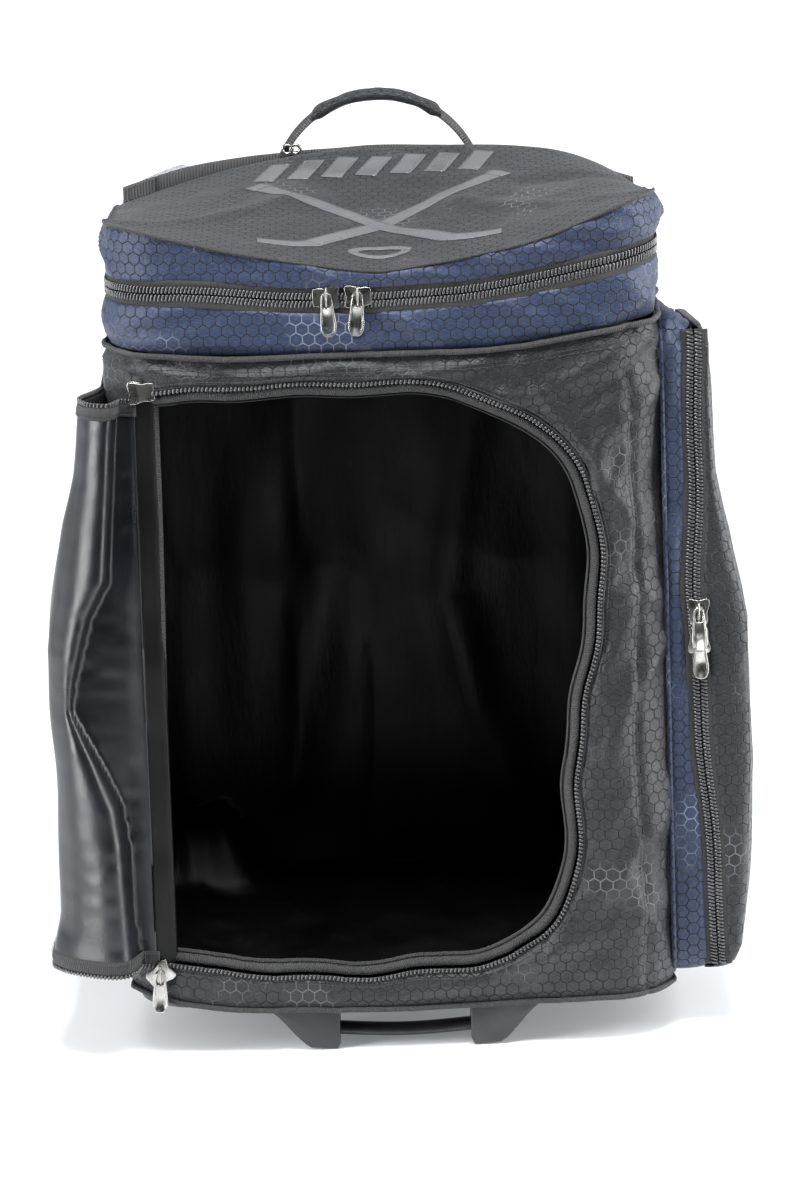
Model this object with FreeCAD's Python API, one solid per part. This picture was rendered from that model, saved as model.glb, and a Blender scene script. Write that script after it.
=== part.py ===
"""Upright wheeled hockey equipment bag, built as an assembly of separate pieces.

Bag frame while modelling: X across, -Y is the front, +Z up, Z = 0 is the ground.
At the end every piece is moved so that the origin is under the centre of the whole
assembly's bounding box, on the ground.
"""
import FreeCAD, Part
import math
import os

from FreeCAD import Vector

# ---- driving dimensions, mm -------------------------------------------------------
HALF_WIDTH = 193.0           # fabric body, centre to side panel
FRONT_Y = -170.0             # front fabric
BACK_Y = 186.0               # padded back
FLOOR_Z = 32.0               # underside of the bag
SEAM_Z = 509.0               # seam between main and top compartment
FABRIC = 3.0                 # laminated fabric and its foam
PADDING = 10.0               # padded back
CORNER_R = 45.0              # plan corners
LINING_BACK_Y = 140.5        # the trolley channel lies behind the lining
SIDE_START_Y = -125.0        # front panel wraps the corners up to here
BACK_START_Y = 141.0         # padded back wraps the corners from here

OPENING_LEFT = -174.0        # hinge side of the front opening
OPENING_RIGHT = 141.0
OPENING_BOTTOM = 62.0
OPENING_TOP = 487.0
OPENING_TOP_R = 105.0
OPENING_BOTTOM_R = 84.0

TAPE = 9.5                   # visible zip tape each side of the teeth line
TAPE_THICK = 1.0
TEETH_GAP = 1.2              # tape edge to the teeth line
FRONT_TAPE_Y = FRONT_Y + FABRIC / 2

TOP_ZIP_Z = 550.5            # teeth line of the lid zip
LID_HINGE_Y = 126.0
LID_FRONT_CENTRE_Z = 568.0   # the top dips in the middle of its front edge
LID_FRONT_CORNER_Z = 607.0
LID_REAR_CENTRE_Z = 602.0    # and is arched at its rear edge
LID_REAR_CORNER_Z = 567.0
DECK_CENTRE_Z = 590.0        # arched rear deck that carries the handle
DECK_CORNER_Z = 558.0
STRAP_Y = 144.0              # plane of the webbing along the rear deck
STRAP_THICK = 2.5
STRAP_HEIGHT = 13.0

FLAP_INNER = 62.0            # hinge to the fold of the opened flap
FLAP_GAP = 1.2               # slack at the fold
FLAP_BINDING = 12.0

HANDLE_HALF_SPAN = 67.0
HANDLE_BASE_Z = 603.5
HANDLE_RISE = 38.0
HANDLE_WIDTH = 15.0          # webbing, front to back
HANDLE_THICK = 4.0
SLEEVE_R = 5.5
SLEEVE_HALF_ANGLE = 38.0

POCKET_FRONT_Y = -148.0
POCKET_REAR_Y = 128.0
POCKET_BOTTOM_Z = 40.0
POCKET_TOP_Z = 520.0
POCKET_ZIP_X = 217.0
POCKET_BULGE_X = 253.0
POCKET_TOP_X = 231.0
POCKET_FOOT_X = 246.0
POCKET_BULGE_LOW_Z = 110.0
POCKET_BULGE_HIGH_Z = 300.0
POCKET_TAPER_Z = 410.0

BACK_BOARD_HALF = 176.0
BACK_BOARD_Y = 153.0
BOARD_THICK = 3.0

HOUSING_INNER_X = 136.0
HOUSING_FRONT_Y = 105.0
HOUSING_LOW_Z = 16.0
HOUSING_TOP_Z = 92.0

WHEEL_R = 37.5
WHEEL_Y = 155.0
WHEEL_X = 158.0
WHEEL_WIDTH = 25.0
WHEEL_ROOM = 3.5             # gap from the tyre to its housing
AXLE_R = 4.0
AXLE_CLEARANCE = 0.05
BEARING_R = 11.0
BEARING_WIDTH = 7.0

TUBE_X = 95.0                # trolley tubes either side of the centre
TUBE_Y = 166.0
TUBE_WALL = 1.2
TUBE_STAGE_GAP = 0.6         # between nested tubes
TUBE_W = 24.0
TUBE_D = 16.0
TUBE_TOP_Z = 542.0
GRIP_TOP_Z = 574.0
GRIP_HALF = 112.0
SLOT_HALF = 118.0            # slot in the rear deck for the trolley
SLOT_FRONT_Y = 156.5
SLOT_BACK_Y = 176.5

FOOT_HALF_WIDTH = 99.0
FOOT_GAP_HALF = 47.0
FOOT_FRONT_Y = -166.0
FOOT_REAR_Y = -116.0
FOOT_SLOPE = 24.0            # the feet narrow towards the ground
FOOT_SLOPE_Z = 20.0
FOOT_SCREW_X = 73.0
FOOT_SCREW_Y = -130.0
FOOT_SCREW_HEAD_Z = 21.6
BAR_FRONT_Y = -160.0         # lifting bar between the feet
BAR_REAR_Y = -138.0
BAR_LOW_Z = 5.0
BAR_TOP_Z = 15.0

BEZEL_HALF = 124             # trolley bezel in the rear deck
BEZEL_FRONT_Y = 156.2
BEZEL_BACK_Y = 182
COLLAR_HALF = 117.5          # its collar below the deck
COLLAR_BACK_Y = 176.2

LID_SLIDERS_X = -27.5        # where the two lid sliders meet
SLIDER_LENGTH = 18.5
SLIDER_WIDTH = 15.5
SLIDER_HALF_THICK = 3.0
SLIDER_SLOT = 3.0            # room for the tapes between the two plates
PULL_LENGTH = 29.0
PULL_WIDTH = 12.6
PULL_THICK = 1.8

X_AXIS = Vector(1, 0, 0)
Y_AXIS = Vector(0, 1, 0)
Z_AXIS = Vector(0, 0, 1)
FAR = 400.0                  # larger than the bag, for cutting boxes
NODES = {}


# ---- helpers ----------------------------------------------------------------------
def block(x0, x1, y0, y1, z0, z1):
    """Box between two corners."""
    return Part.makeBox(x1 - x0, y1 - y0, z1 - z0, Vector(x0, y0, z0))


def rounded_block(x0, x1, y0, y1, z0, z1, radius):
    """Box with its four upright edges rounded."""
    solid = block(x0, x1, y0, y1, z0, z1)
    upright = [e for e in solid.Edges if abs(e.Length - (z1 - z0)) < 1e-6
               and abs(e.tangentAt(e.FirstParameter).z) > 0.9]
    return solid.makeFillet(radius, upright)


def plan(grow, z0, z1):
    """The bag's rounded plan outline, grown or shrunk, raised from z0 to z1."""
    return rounded_block(-HALF_WIDTH - grow, HALF_WIDTH + grow, FRONT_Y - grow, BACK_Y + grow,
                         z0, z1, CORNER_R + grow)


def ring(outer, thick, z0, z1):
    """Wall that follows the plan outline; outer and thick are measured inwards."""
    return plan(-outer, z0, z1).cut(plan(-outer - thick, z0 - 1, z1 + 1))


def x_cylinder(x0, x1, y, z, radius):
    """Cylinder along X."""
    return Part.makeCylinder(radius, x1 - x0, Vector(x0, y, z), X_AXIS)


def z_cylinder(x, y, z0, z1, radius):
    """Upright cylinder."""
    return Part.makeCylinder(radius, z1 - z0, Vector(x, y, z0), Z_AXIS)


def fuse(*solids):
    """One clean solid from touching or overlapping solids."""
    return solids[0].multiFuse(list(solids[1:])).removeSplitter()


def group(*solids):
    """Separate solids that share one node."""
    return Part.makeCompound(list(solids))


def mirrored(solid):
    """The same solid on the other side of the bag."""
    return solid.mirror(Vector(0, 0, 0), X_AXIS)


def polygon_prism(points, axis_vector):
    """Prism from a closed list of corner points."""
    wire = Part.makePolygon([Vector(*p) for p in points] + [Vector(*points[0])])
    return Part.Face(wire).extrude(axis_vector)


def opening_prism(grow, grow_left, y0, y1):
    """The front opening's D shape, grown by the given amounts, from y0 to y1."""
    left = OPENING_LEFT - grow_left
    right = OPENING_RIGHT + grow
    low = OPENING_BOTTOM - grow
    high = OPENING_TOP + grow
    low_r = OPENING_BOTTOM_R + grow
    high_r = OPENING_TOP_R + grow
    slant = math.sqrt(0.5)

    def point(x, z):
        return Vector(x, y0, z)

    low_middle = point(right - low_r + low_r * slant, low + low_r - low_r * slant)
    high_middle = point(right - high_r + high_r * slant, high - high_r + high_r * slant)
    edges = [
        Part.LineSegment(point(left, low), point(right - low_r, low)).toShape(),
        Part.Arc(point(right - low_r, low), low_middle, point(right, low + low_r)).toShape(),
        Part.LineSegment(point(right, low + low_r), point(right, high - high_r)).toShape(),
        Part.Arc(point(right, high - high_r), high_middle, point(right - high_r, high)).toShape(),
        Part.LineSegment(point(right - high_r, high), point(left, high)).toShape(),
        Part.LineSegment(point(left, high), point(left, low)).toShape(),
    ]
    return Part.Face(Part.Wire(edges)).extrude(Vector(0, y1 - y0, 0))


def housing_envelope(side, grow):
    """Outside of a wheel housing; side is -1 left or +1 right."""
    corner = plan(grow, HOUSING_LOW_Z - grow, HOUSING_TOP_Z + grow)
    x_in = HOUSING_INNER_X - grow
    y_in = HOUSING_FRONT_Y - grow
    if side > 0:
        return corner.common(block(x_in, FAR, y_in, FAR, 0, FAR))
    return corner.common(block(-FAR, -x_in, y_in, FAR, 0, FAR))


def without_housings(solid, grow=0.2):
    """Leave room for both wheel housings."""
    return solid.cut(housing_envelope(-1, grow)).cut(housing_envelope(1, grow))


# ---- fabric body ------------------------------------------------------------------
def body_panels():
    """Front, side, back and bottom panels of the main compartment."""
    wall_low = FLOOR_Z + FABRIC
    wall = ring(0, FABRIC, wall_low, SEAM_Z)
    front = wall.common(block(-FAR, FAR, -FAR, SIDE_START_Y, 0, FAR * 2))
    NODES["front_panel"] = front.cut(opening_prism(TAPE, 4.0, FRONT_Y - 10, SIDE_START_Y + 10))
    sides = wall.common(block(-FAR, FAR, SIDE_START_Y, BACK_START_Y, 0, FAR * 2))
    sides = without_housings(sides)
    NODES["left_side_panel"] = sides.common(block(-FAR, 0, -FAR, FAR, 0, FAR * 2))
    NODES["right_side_panel"] = sides.common(block(0, FAR, -FAR, FAR, 0, FAR * 2))
    back = ring(0, PADDING, wall_low, SEAM_Z).common(
        block(-FAR, FAR, BACK_START_Y, FAR, 0, FAR * 2))
    NODES["back_panel"] = without_housings(back)
    NODES["bottom_panel"] = without_housings(plan(0, FLOOR_Z, wall_low))


def stiffeners():
    """Plastic sheets inside the fabric, and the floor of the top compartment."""
    board_low = FLOOR_Z + FABRIC + 0.3
    board = plan(-FABRIC - 0.5, board_low, board_low + BOARD_THICK).common(
        block(-FAR, FAR, -FAR, BACK_Y - PADDING - 1, 0, FAR))
    NODES["base_board"] = without_housings(board)
    back = block(-BACK_BOARD_HALF, BACK_BOARD_HALF, BACK_BOARD_Y, BACK_BOARD_Y + BOARD_THICK,
                 board_low + BOARD_THICK + 0.3, DECK_CORNER_Z - 16)
    NODES["back_board"] = without_housings(back, 0.5)
    floor = plan(-FABRIC - 0.3, SEAM_Z - 1.5, SEAM_Z + 1.5).common(
        block(-FAR, FAR, -FAR, LINING_BACK_Y, 0, FAR * 2))
    NODES["divider_panel"] = floor


def lining():
    """Thin nylon lining of the main compartment."""
    low = FLOOR_Z + 6.8
    high = SEAM_Z - 2
    gap = FABRIC + 0.4
    outside = plan(-gap, low, high).common(block(-FAR, FAR, -FAR, LINING_BACK_Y, 0, FAR * 2))
    inside = plan(-gap - 1.2, low + 1.2, high + 1).common(
        block(-FAR, FAR, -FAR, LINING_BACK_Y - 1.2, 0, FAR * 2))
    shell = outside.cut(inside)
    shell = shell.cut(opening_prism(TAPE + 4, 10.0, FRONT_Y - 10, SIDE_START_Y + 10))
    NODES["main_lining"] = without_housings(shell, 1.0)


def seam_piping():
    """Piped seams round the floor and between the two compartments."""
    rings = []
    for z in (FLOOR_Z + FABRIC, SEAM_Z):
        rings.append(ring(-2.5, 2.4, z - 2, z + 2))
    upper = rings[1]
    lower = rings[0].common(block(-FAR, FAR, -FAR, 100, 0, FAR))
    upper = upper.cut(block(0, FAR, POCKET_FRONT_Y - 2, POCKET_REAR_Y + 2, 0, FAR * 2))
    lower = lower.cut(block(0, FAR, POCKET_FRONT_Y - 2, POCKET_REAR_Y + 2, 0, FAR * 2))
    NODES["seam_piping"] = group(*(lower.Solids + upper.Solids))


# ---- top compartment --------------------------------------------------------------
def top_profile(y, low, drop, centre, corner):
    """Upright section of the top at depth y, with an arched upper edge."""
    reach = HALF_WIDTH + 4
    edges = [
        Part.LineSegment(Vector(-reach, y, low), Vector(reach, y, low)).toShape(),
        Part.LineSegment(Vector(reach, y, low), Vector(reach, y, corner - drop)).toShape(),
        Part.Arc(Vector(reach, y, corner - drop), Vector(0, y, centre - drop),
                 Vector(-reach, y, corner - drop)).toShape(),
        Part.LineSegment(Vector(-reach, y, corner - drop), Vector(-reach, y, low)).toShape(),
    ]
    return Part.Wire(edges)


def saddle(low, drop):
    """Solid under the lid's saddle-shaped top, lowered by drop."""
    front = top_profile(FRONT_Y - 5, low, drop, LID_FRONT_CENTRE_Z, LID_FRONT_CORNER_Z)
    rear = top_profile(LID_HINGE_Y + 5, low, drop, LID_REAR_CENTRE_Z, LID_REAR_CORNER_Z)
    return Part.makeLoft([front, rear], True, True)


def under_deck(lift):
    """Solid under the rear deck's arch, lifted by a height."""
    wire = top_profile(LID_HINGE_Y - 10, SEAM_Z - 5, -lift, DECK_CENTRE_Z, DECK_CORNER_Z)
    return Part.Face(wire).extrude(Vector(0, BACK_Y + 20 - LID_HINGE_Y, 0))


def top_compartment():
    """Lower blue band, rear deck, lid and the zip between them."""
    band_top = TOP_ZIP_Z - TAPE
    lid_low = TOP_ZIP_Z + TAPE
    band = ring(0, FABRIC, SEAM_Z, band_top)
    NODES["top_lower_band"] = band.common(block(-FAR, FAR, -FAR, LID_HINGE_Y, 0, FAR * 2))

    tape_y = FABRIC / 2 - TAPE_THICK / 2
    tape_reach = block(-FAR, FAR, -FAR, LID_HINGE_Y - 8, 0, FAR * 2)
    lower = ring(tape_y, TAPE_THICK, band_top, TOP_ZIP_Z - TEETH_GAP)
    upper = ring(tape_y, TAPE_THICK, TOP_ZIP_Z + TEETH_GAP, lid_low)
    NODES["top_zip_lower_tape"] = lower.common(tape_reach)
    NODES["top_zip_upper_tape"] = upper.common(tape_reach)

    lid_zone = block(-FAR, FAR, -FAR, LID_HINGE_Y - 1, 0, FAR * 2)
    under_top = saddle(TOP_ZIP_Z, 0)
    under_skin = saddle(TOP_ZIP_Z - 5, FABRIC)
    NODES["lid_panel"] = plan(0, lid_low - 5, 640).common(under_top).cut(under_skin).common(lid_zone)
    lid_band = ring(0, FABRIC, lid_low, 640).common(under_skin).common(tape_reach)
    NODES["lid_band"] = lid_band

    deck_zone = block(-FAR, FAR, LID_HINGE_Y + 1, FAR, 0, FAR * 2)
    hollow = plan(-FABRIC, SEAM_Z - 1, 640).common(under_deck(-FABRIC))
    deck = plan(0, SEAM_Z, 640).common(under_deck(0)).cut(hollow)
    slot = rounded_block(-SLOT_HALF, SLOT_HALF, SLOT_FRONT_Y, SLOT_BACK_Y, SEAM_Z + 20, 640, 6)
    NODES["rear_deck"] = deck.common(deck_zone).cut(slot)


# ---- carry handle -----------------------------------------------------------------
def handle_arc(offset):
    """Centre height and radius of the handle's arc, moved outwards by offset."""
    radius = (HANDLE_HALF_SPAN ** 2 + HANDLE_RISE ** 2) / (2 * HANDLE_RISE)
    return HANDLE_BASE_Z + HANDLE_RISE - radius, radius + offset


def carry_handle():
    """Webbing along the rear deck, and the webbing loop with its rolled sleeve."""
    half = STRAP_THICK / 2
    upright = block(-186, 186, STRAP_Y - half, STRAP_Y + half, SEAM_Z, 640)
    NODES["handle_strap"] = upright.common(under_deck(STRAP_HEIGHT)).cut(under_deck(0))
    centre_z, outer_r = handle_arc(HANDLE_THICK / 2)
    inner_r = outer_r - HANDLE_THICK
    start = Vector(0, STRAP_Y - HANDLE_WIDTH / 2, centre_z)
    disc = Part.makeCylinder(outer_r, HANDLE_WIDTH, start, Y_AXIS)
    hole = Part.makeCylinder(inner_r, HANDLE_WIDTH * 3, start - Y_AXIS * HANDLE_WIDTH, Y_AXIS)
    webbing = disc.cut(hole).common(block(-FAR, FAR, 0, FAR, HANDLE_BASE_Z, FAR * 2))

    centre = Vector(0, STRAP_Y, centre_z)
    top = centre + Z_AXIS * handle_arc(0)[1]
    half_y = HANDLE_WIDTH / 2 + 1.5
    outline = rounded_block(-SLEEVE_R, SLEEVE_R, -half_y, half_y, 0, 1, SLEEVE_R - 0.5)
    face = min(outline.Faces, key=lambda f: f.CenterOfMass.z)
    face.rotate(Vector(0, 0, 0), Y_AXIS, 90)
    face.translate(top)
    face.rotate(centre, Y_AXIS, -SLEEVE_HALF_ANGLE)
    sleeve = face.revolve(centre, Y_AXIS, 2 * SLEEVE_HALF_ANGLE)
    NODES["handle_webbing"] = webbing
    NODES["handle_sleeve"] = sleeve.cut(webbing)


# ---- front flap, opened and folded back along the left side ------------------------
def flap():
    """Two stretches of the opened flap, its binding and its half of the zip."""
    low = OPENING_BOTTOM + TAPE
    high = OPENING_TOP - TAPE
    y_mid = FRONT_TAPE_Y
    half = FABRIC / 2
    fold_x = OPENING_LEFT - FLAP_INNER
    NODES["flap_inner_panel"] = block(fold_x + FLAP_GAP + half, OPENING_LEFT - 2, y_mid - half,
                                      y_mid + half, low, high)
    shape = opening_prism(-TAPE, 0, 0, FABRIC)
    rim = opening_prism(-TAPE, 0, 0, FABRIC).cut(
        opening_prism(-TAPE - FLAP_BINDING, FAR, -1, FABRIC + 1))
    tape = opening_prism(-TEETH_GAP, 0, 0, TAPE_THICK).cut(
        opening_prism(-TAPE, FAR, -1, TAPE_THICK + 1))
    outer_zone = block(OPENING_LEFT + FLAP_INNER + FLAP_GAP + half, FAR, -FAR, FAR, 0, FAR * 2)
    panel = shape.cut(rim).common(outer_zone)
    tape.translate(Vector(0, half - TAPE_THICK / 2, 0))
    pieces = {"flap_outer_panel": panel, "flap_binding": rim.common(outer_zone),
              "flap_zip_tape": tape.common(outer_zone)}
    for name, solid in pieces.items():
        solid.translate(Vector(0, y_mid - half, 0))
        fold_line = Vector(OPENING_LEFT + FLAP_INNER, y_mid, 0)
        solid.rotate(fold_line, Z_AXIS, 90)
        solid.translate(Vector(fold_x - fold_line.x, 0, 0))
        NODES[name] = solid
    body_tape = opening_prism(TAPE, 0, y_mid - TAPE_THICK / 2, y_mid + TAPE_THICK / 2).cut(
        opening_prism(TEETH_GAP, FAR, -FAR, FAR))
    NODES["main_zip_body_tape"] = body_tape


# ---- side pocket ------------------------------------------------------------------
def side_pocket():
    """Gusset fixed to the right side, and the outer panel that opens from the front."""
    inner_x = HALF_WIDTH + 0.3
    front, rear = POCKET_FRONT_Y, POCKET_REAR_Y
    low, high = POCKET_BOTTOM_Z, POCKET_TOP_Z
    split_x = POCKET_ZIP_X - 2
    gusset = block(inner_x, split_x, front, rear, low, high)
    gusset = gusset.cut(block(inner_x - 1, split_x + 1, front + FABRIC, rear - FABRIC,
                              low + FABRIC, high - FABRIC))
    tape_zone = block(POCKET_ZIP_X - TAPE, POCKET_ZIP_X + TAPE, front - 1, front + FABRIC, 0, FAR * 2)
    NODES["pocket_gusset"] = gusset.cut(tape_zone)

    def bulged(inset, x0):
        top, foot, bulge = POCKET_TOP_X - inset, POCKET_FOOT_X - inset, POCKET_BULGE_X - inset
        y0, y1 = front + inset, rear - inset
        z0, z1 = low + inset, high - inset
        return polygon_prism([(x0, y0, z0), (foot, y0, z0), (bulge, y0, POCKET_BULGE_LOW_Z),
                              (bulge, y0, POCKET_BULGE_HIGH_Z), (top, y0, POCKET_TAPER_Z),
                              (top, y0, z1), (x0, y0, z1)], Vector(0, y1 - y0, 0))

    panel_x = POCKET_ZIP_X - 0.5
    panel = bulged(0, panel_x).cut(bulged(FABRIC, panel_x - 1))
    NODES["pocket_outer_panel"] = panel.cut(tape_zone)

    tape_mid = front + FABRIC / 2
    y0, y1 = tape_mid - TAPE_THICK / 2, tape_mid + TAPE_THICK / 2
    inner = block(POCKET_ZIP_X - TAPE, POCKET_ZIP_X - TEETH_GAP, y0, y1, low + FABRIC, high - FABRIC)
    outer = block(POCKET_ZIP_X + TEETH_GAP, POCKET_ZIP_X + TAPE, y0, y1, low + FABRIC, high - FABRIC)
    NODES["pocket_zip_inner_tape"] = inner
    NODES["pocket_zip_outer_tape"] = outer


# ---- zip sliders ------------------------------------------------------------------
def slider_solids(along):
    """Slider and pull at the origin, facing -Y; along is the zip direction, X or Z."""
    half_l, half_w = SLIDER_LENGTH / 2, SLIDER_WIDTH / 2
    if along == "Z":
        half_x, half_z = half_w, half_l
    else:
        half_x, half_z = half_l, half_w
    slot = SLIDER_SLOT / 2
    thick = SLIDER_HALF_THICK
    front = rounded_block(-half_x, half_x, -thick, -slot, -half_z, half_z, 0.5)
    rear = rounded_block(-half_x, half_x, slot, thick, -half_z, half_z, 0.5)
    post = Part.makeCylinder(0.8, 2 * slot, Vector(0, -slot, 0), Y_AXIS)
    post_shift = {"X": Vector(half_x - 2.5, 0, 0), "Z": Vector(0, 0, half_z - 2.5)}[along]
    post.translate(post_shift)
    upper_leg = block(-1.5, 1.5, -8, -thick, 5, 6.5)
    lower_leg = block(-1.5, 1.5, -8, -thick, -5, -3.5)
    bar = block(-1.5, 1.5, -8, -6.5, -5, 6.5)
    slider = fuse(front, rear, post, upper_leg, lower_leg, bar)

    pull_y = -5.8
    top_z = 4.0
    blade = block(-PULL_WIDTH / 2, PULL_WIDTH / 2, pull_y, pull_y + PULL_THICK,
                  top_z - PULL_LENGTH, top_z)
    edges = [e for e in blade.Edges if abs(abs(e.tangentAt(e.FirstParameter).y) - 1) < 1e-6]
    blade = blade.makeFillet(4.5, edges)
    eye = block(-3, 3, pull_y - 1, pull_y + 3, top_z - 11.0, top_z - 2.5)
    return slider, blade.cut(eye)


PULL_PIVOT_Y = -4.9          # pull hinge, measured from the slider's centre
PULL_PIVOT_Z = 2.75


def place_slider(name, along, position, inside=False, pull_tilt=0.0):
    """Put a slider and its pull on a zip; inside turns the pull into the bag."""
    slider, pull = slider_solids(along)
    if pull_tilt:
        pull.rotate(Vector(0, PULL_PIVOT_Y, PULL_PIVOT_Z), X_AXIS, -pull_tilt)
    for suffix, solid in (("slider", slider), ("pull", pull)):
        if inside:
            solid = solid.mirror(Vector(0, 0, 0), Y_AXIS)
        solid.translate(Vector(*position))
        NODES[name + "_" + suffix] = solid


def sliders():
    """Two sliders on each of the three zips."""
    place_slider("lid_zip_left", "X", (LID_SLIDERS_X - 11, FRONT_TAPE_Y, TOP_ZIP_Z))
    place_slider("lid_zip_right", "X", (LID_SLIDERS_X + 11, FRONT_TAPE_Y, TOP_ZIP_Z))
    place_slider("main_zip_upper", "X", (OPENING_LEFT + 4, FRONT_TAPE_Y, OPENING_TOP), inside=True)
    place_slider("main_zip_lower", "X", (OPENING_LEFT, FRONT_TAPE_Y, OPENING_BOTTOM))
    pocket_y = POCKET_FRONT_Y + FABRIC / 2
    place_slider("pocket_zip_upper", "Z", (POCKET_ZIP_X, pocket_y, 311), pull_tilt=22.0)
    place_slider("pocket_zip_lower", "Z", (POCKET_ZIP_X, pocket_y, 290))


# ---- foot, wheels and trolley -----------------------------------------------------
def foot_bracket():
    """Moulded front feet with a lifting bar between them."""
    foot = polygon_prism([(FOOT_GAP_HALF, FOOT_FRONT_Y, 0), (FOOT_HALF_WIDTH - FOOT_SLOPE, FOOT_FRONT_Y, 0),
                          (FOOT_HALF_WIDTH, FOOT_FRONT_Y, FOOT_SLOPE_Z),
                          (FOOT_HALF_WIDTH, FOOT_FRONT_Y, FLOOR_Z),
                          (FOOT_GAP_HALF, FOOT_FRONT_Y, FLOOR_Z)],
                         Vector(0, FOOT_REAR_Y - FOOT_FRONT_Y, 0))
    bar = rounded_block(-FOOT_GAP_HALF - 1, FOOT_GAP_HALF + 1, BAR_FRONT_Y, BAR_REAR_Y,
                        BAR_LOW_Z, BAR_TOP_Z, 2)
    bracket = fuse(foot, mirrored(foot), bar)
    screw_xs = (-FOOT_SCREW_X, FOOT_SCREW_X)
    holes = [z_cylinder(x, FOOT_SCREW_Y, -1, FOOT_SCREW_HEAD_Z + 2.4, 5) for x in screw_xs]
    shanks = [z_cylinder(x, FOOT_SCREW_Y, FOOT_SCREW_HEAD_Z, FLOOR_Z + 1, 2.3) for x in screw_xs]
    for hole in holes + shanks:
        bracket = bracket.cut(hole)
    NODES["foot_bracket"] = bracket


def screw(x, y, z_head):
    """Pan-head screw that points up, with its head at z_head."""
    head = z_cylinder(x, y, z_head, z_head + 2.4, 4.2)
    shank = z_cylinder(x, y, z_head + 2.4, z_head + 14, 1.9)
    recess = z_cylinder(x, y, z_head - 1, z_head + 1.2, 1.5)
    return fuse(head, shank).cut(recess)


def screws():
    """Screws that hold the foot bracket; their shanks bite in the base board."""
    screw_xs = (-FOOT_SCREW_X, FOOT_SCREW_X)
    solids = [screw(x, FOOT_SCREW_Y, FOOT_SCREW_HEAD_Z) for x in screw_xs]
    NODES["foot_screws"] = group(*solids)
    for name in ("bottom_panel", "base_board"):
        for x in screw_xs:
            hole = z_cylinder(x, FOOT_SCREW_Y, FLOOR_Z - 2, FLOOR_Z + 10, 2.1)
            NODES[name] = NODES[name].cut(hole)
    for x in screw_xs:
        hole = z_cylinder(x, FOOT_SCREW_Y, FLOOR_Z - 2, FLOOR_Z + 10, 3.0)
        NODES["main_lining"] = NODES["main_lining"].cut(hole)


def wheels():
    """Housing, axle, bearings, hub and tyre at both lower rear corners."""
    half = WHEEL_WIDTH / 2
    room_x0, room_x1 = WHEEL_X - half - 2.5, WHEEL_X + half + 2.5
    room_r = WHEEL_R + WHEEL_ROOM
    room = x_cylinder(room_x0, room_x1, WHEEL_Y, WHEEL_R, room_r)
    room = room.fuse(block(room_x0, room_x1, WHEEL_Y, FAR, 0, WHEEL_R + room_r))
    room = room.fuse(block(room_x0, room_x1, WHEEL_Y - room_r, FAR, 0, WHEEL_R))
    axle = x_cylinder(139, 180, WHEEL_Y, WHEEL_R, AXLE_R)
    housing = housing_envelope(1, 0).cut(room).cut(
        x_cylinder(139, 180, WHEEL_Y, WHEEL_R, AXLE_R))
    NODES["wheel_housing_right"] = housing
    NODES["wheel_housing_left"] = mirrored(housing)
    NODES["wheel_axles"] = group(axle, mirrored(axle))

    tread_r = 6.0
    tyre = x_cylinder(WHEEL_X - half, WHEEL_X + half, WHEEL_Y, WHEEL_R, WHEEL_R)
    tyre = tyre.makeFillet(tread_r, [e for e in tyre.Edges if e.Closed])
    core_r = WHEEL_R - 9
    tyre = tyre.cut(x_cylinder(WHEEL_X - half - 1, WHEEL_X + half + 1, WHEEL_Y, WHEEL_R, core_r))
    hub = x_cylinder(WHEEL_X - half + 1, WHEEL_X + half - 1, WHEEL_Y, WHEEL_R, core_r)
    hub = hub.cut(x_cylinder(WHEEL_X - half, WHEEL_X + half, WHEEL_Y, WHEEL_R, AXLE_R + 3))
    for x0 in (WHEEL_X - half, WHEEL_X + half - 1 - BEARING_WIDTH):
        hub = hub.cut(x_cylinder(x0, x0 + BEARING_WIDTH + 1, WHEEL_Y, WHEEL_R, BEARING_R))
    for x0, x1 in ((WHEEL_X - half, WHEEL_X - 3), (WHEEL_X + 3, WHEEL_X + half)):
        dish = x_cylinder(x0, x1, WHEEL_Y, WHEEL_R, core_r - 4)
        hub = hub.cut(dish.cut(x_cylinder(x0, x1, WHEEL_Y, WHEEL_R, BEARING_R + 3)))
    races = []
    for x0 in (WHEEL_X - half + 1, WHEEL_X + half - 1 - BEARING_WIDTH):
        race = x_cylinder(x0, x0 + BEARING_WIDTH, WHEEL_Y, WHEEL_R, BEARING_R)
        races.append(race.cut(x_cylinder(x0 - 1, x0 + BEARING_WIDTH + 1, WHEEL_Y, WHEEL_R,
                                         AXLE_R + AXLE_CLEARANCE)))
    for name, solid in (("tyre", tyre), ("hub", hub), ("bearings", group(*races))):
        NODES["wheel_" + name + "_right"] = solid
        NODES["wheel_" + name + "_left"] = mirrored(solid)


def tube(stage, z0, z1):
    """Rectangular tube of one trolley stage; 0 is the fixed outer stage."""
    shrink = stage * (TUBE_WALL + TUBE_STAGE_GAP)
    w, d = TUBE_W / 2 - shrink, TUBE_D / 2 - shrink
    r = 4.0 - shrink * 0.7
    outer = rounded_block(TUBE_X - w, TUBE_X + w, TUBE_Y - d, TUBE_Y + d, z0, z1, r)
    inner = rounded_block(TUBE_X - w + TUBE_WALL, TUBE_X + w - TUBE_WALL, TUBE_Y - d + TUBE_WALL,
                          TUBE_Y + d - TUBE_WALL, z0 - 1, z1 + 1, max(r - TUBE_WALL, 0.4))
    return outer.cut(inner)


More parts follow.
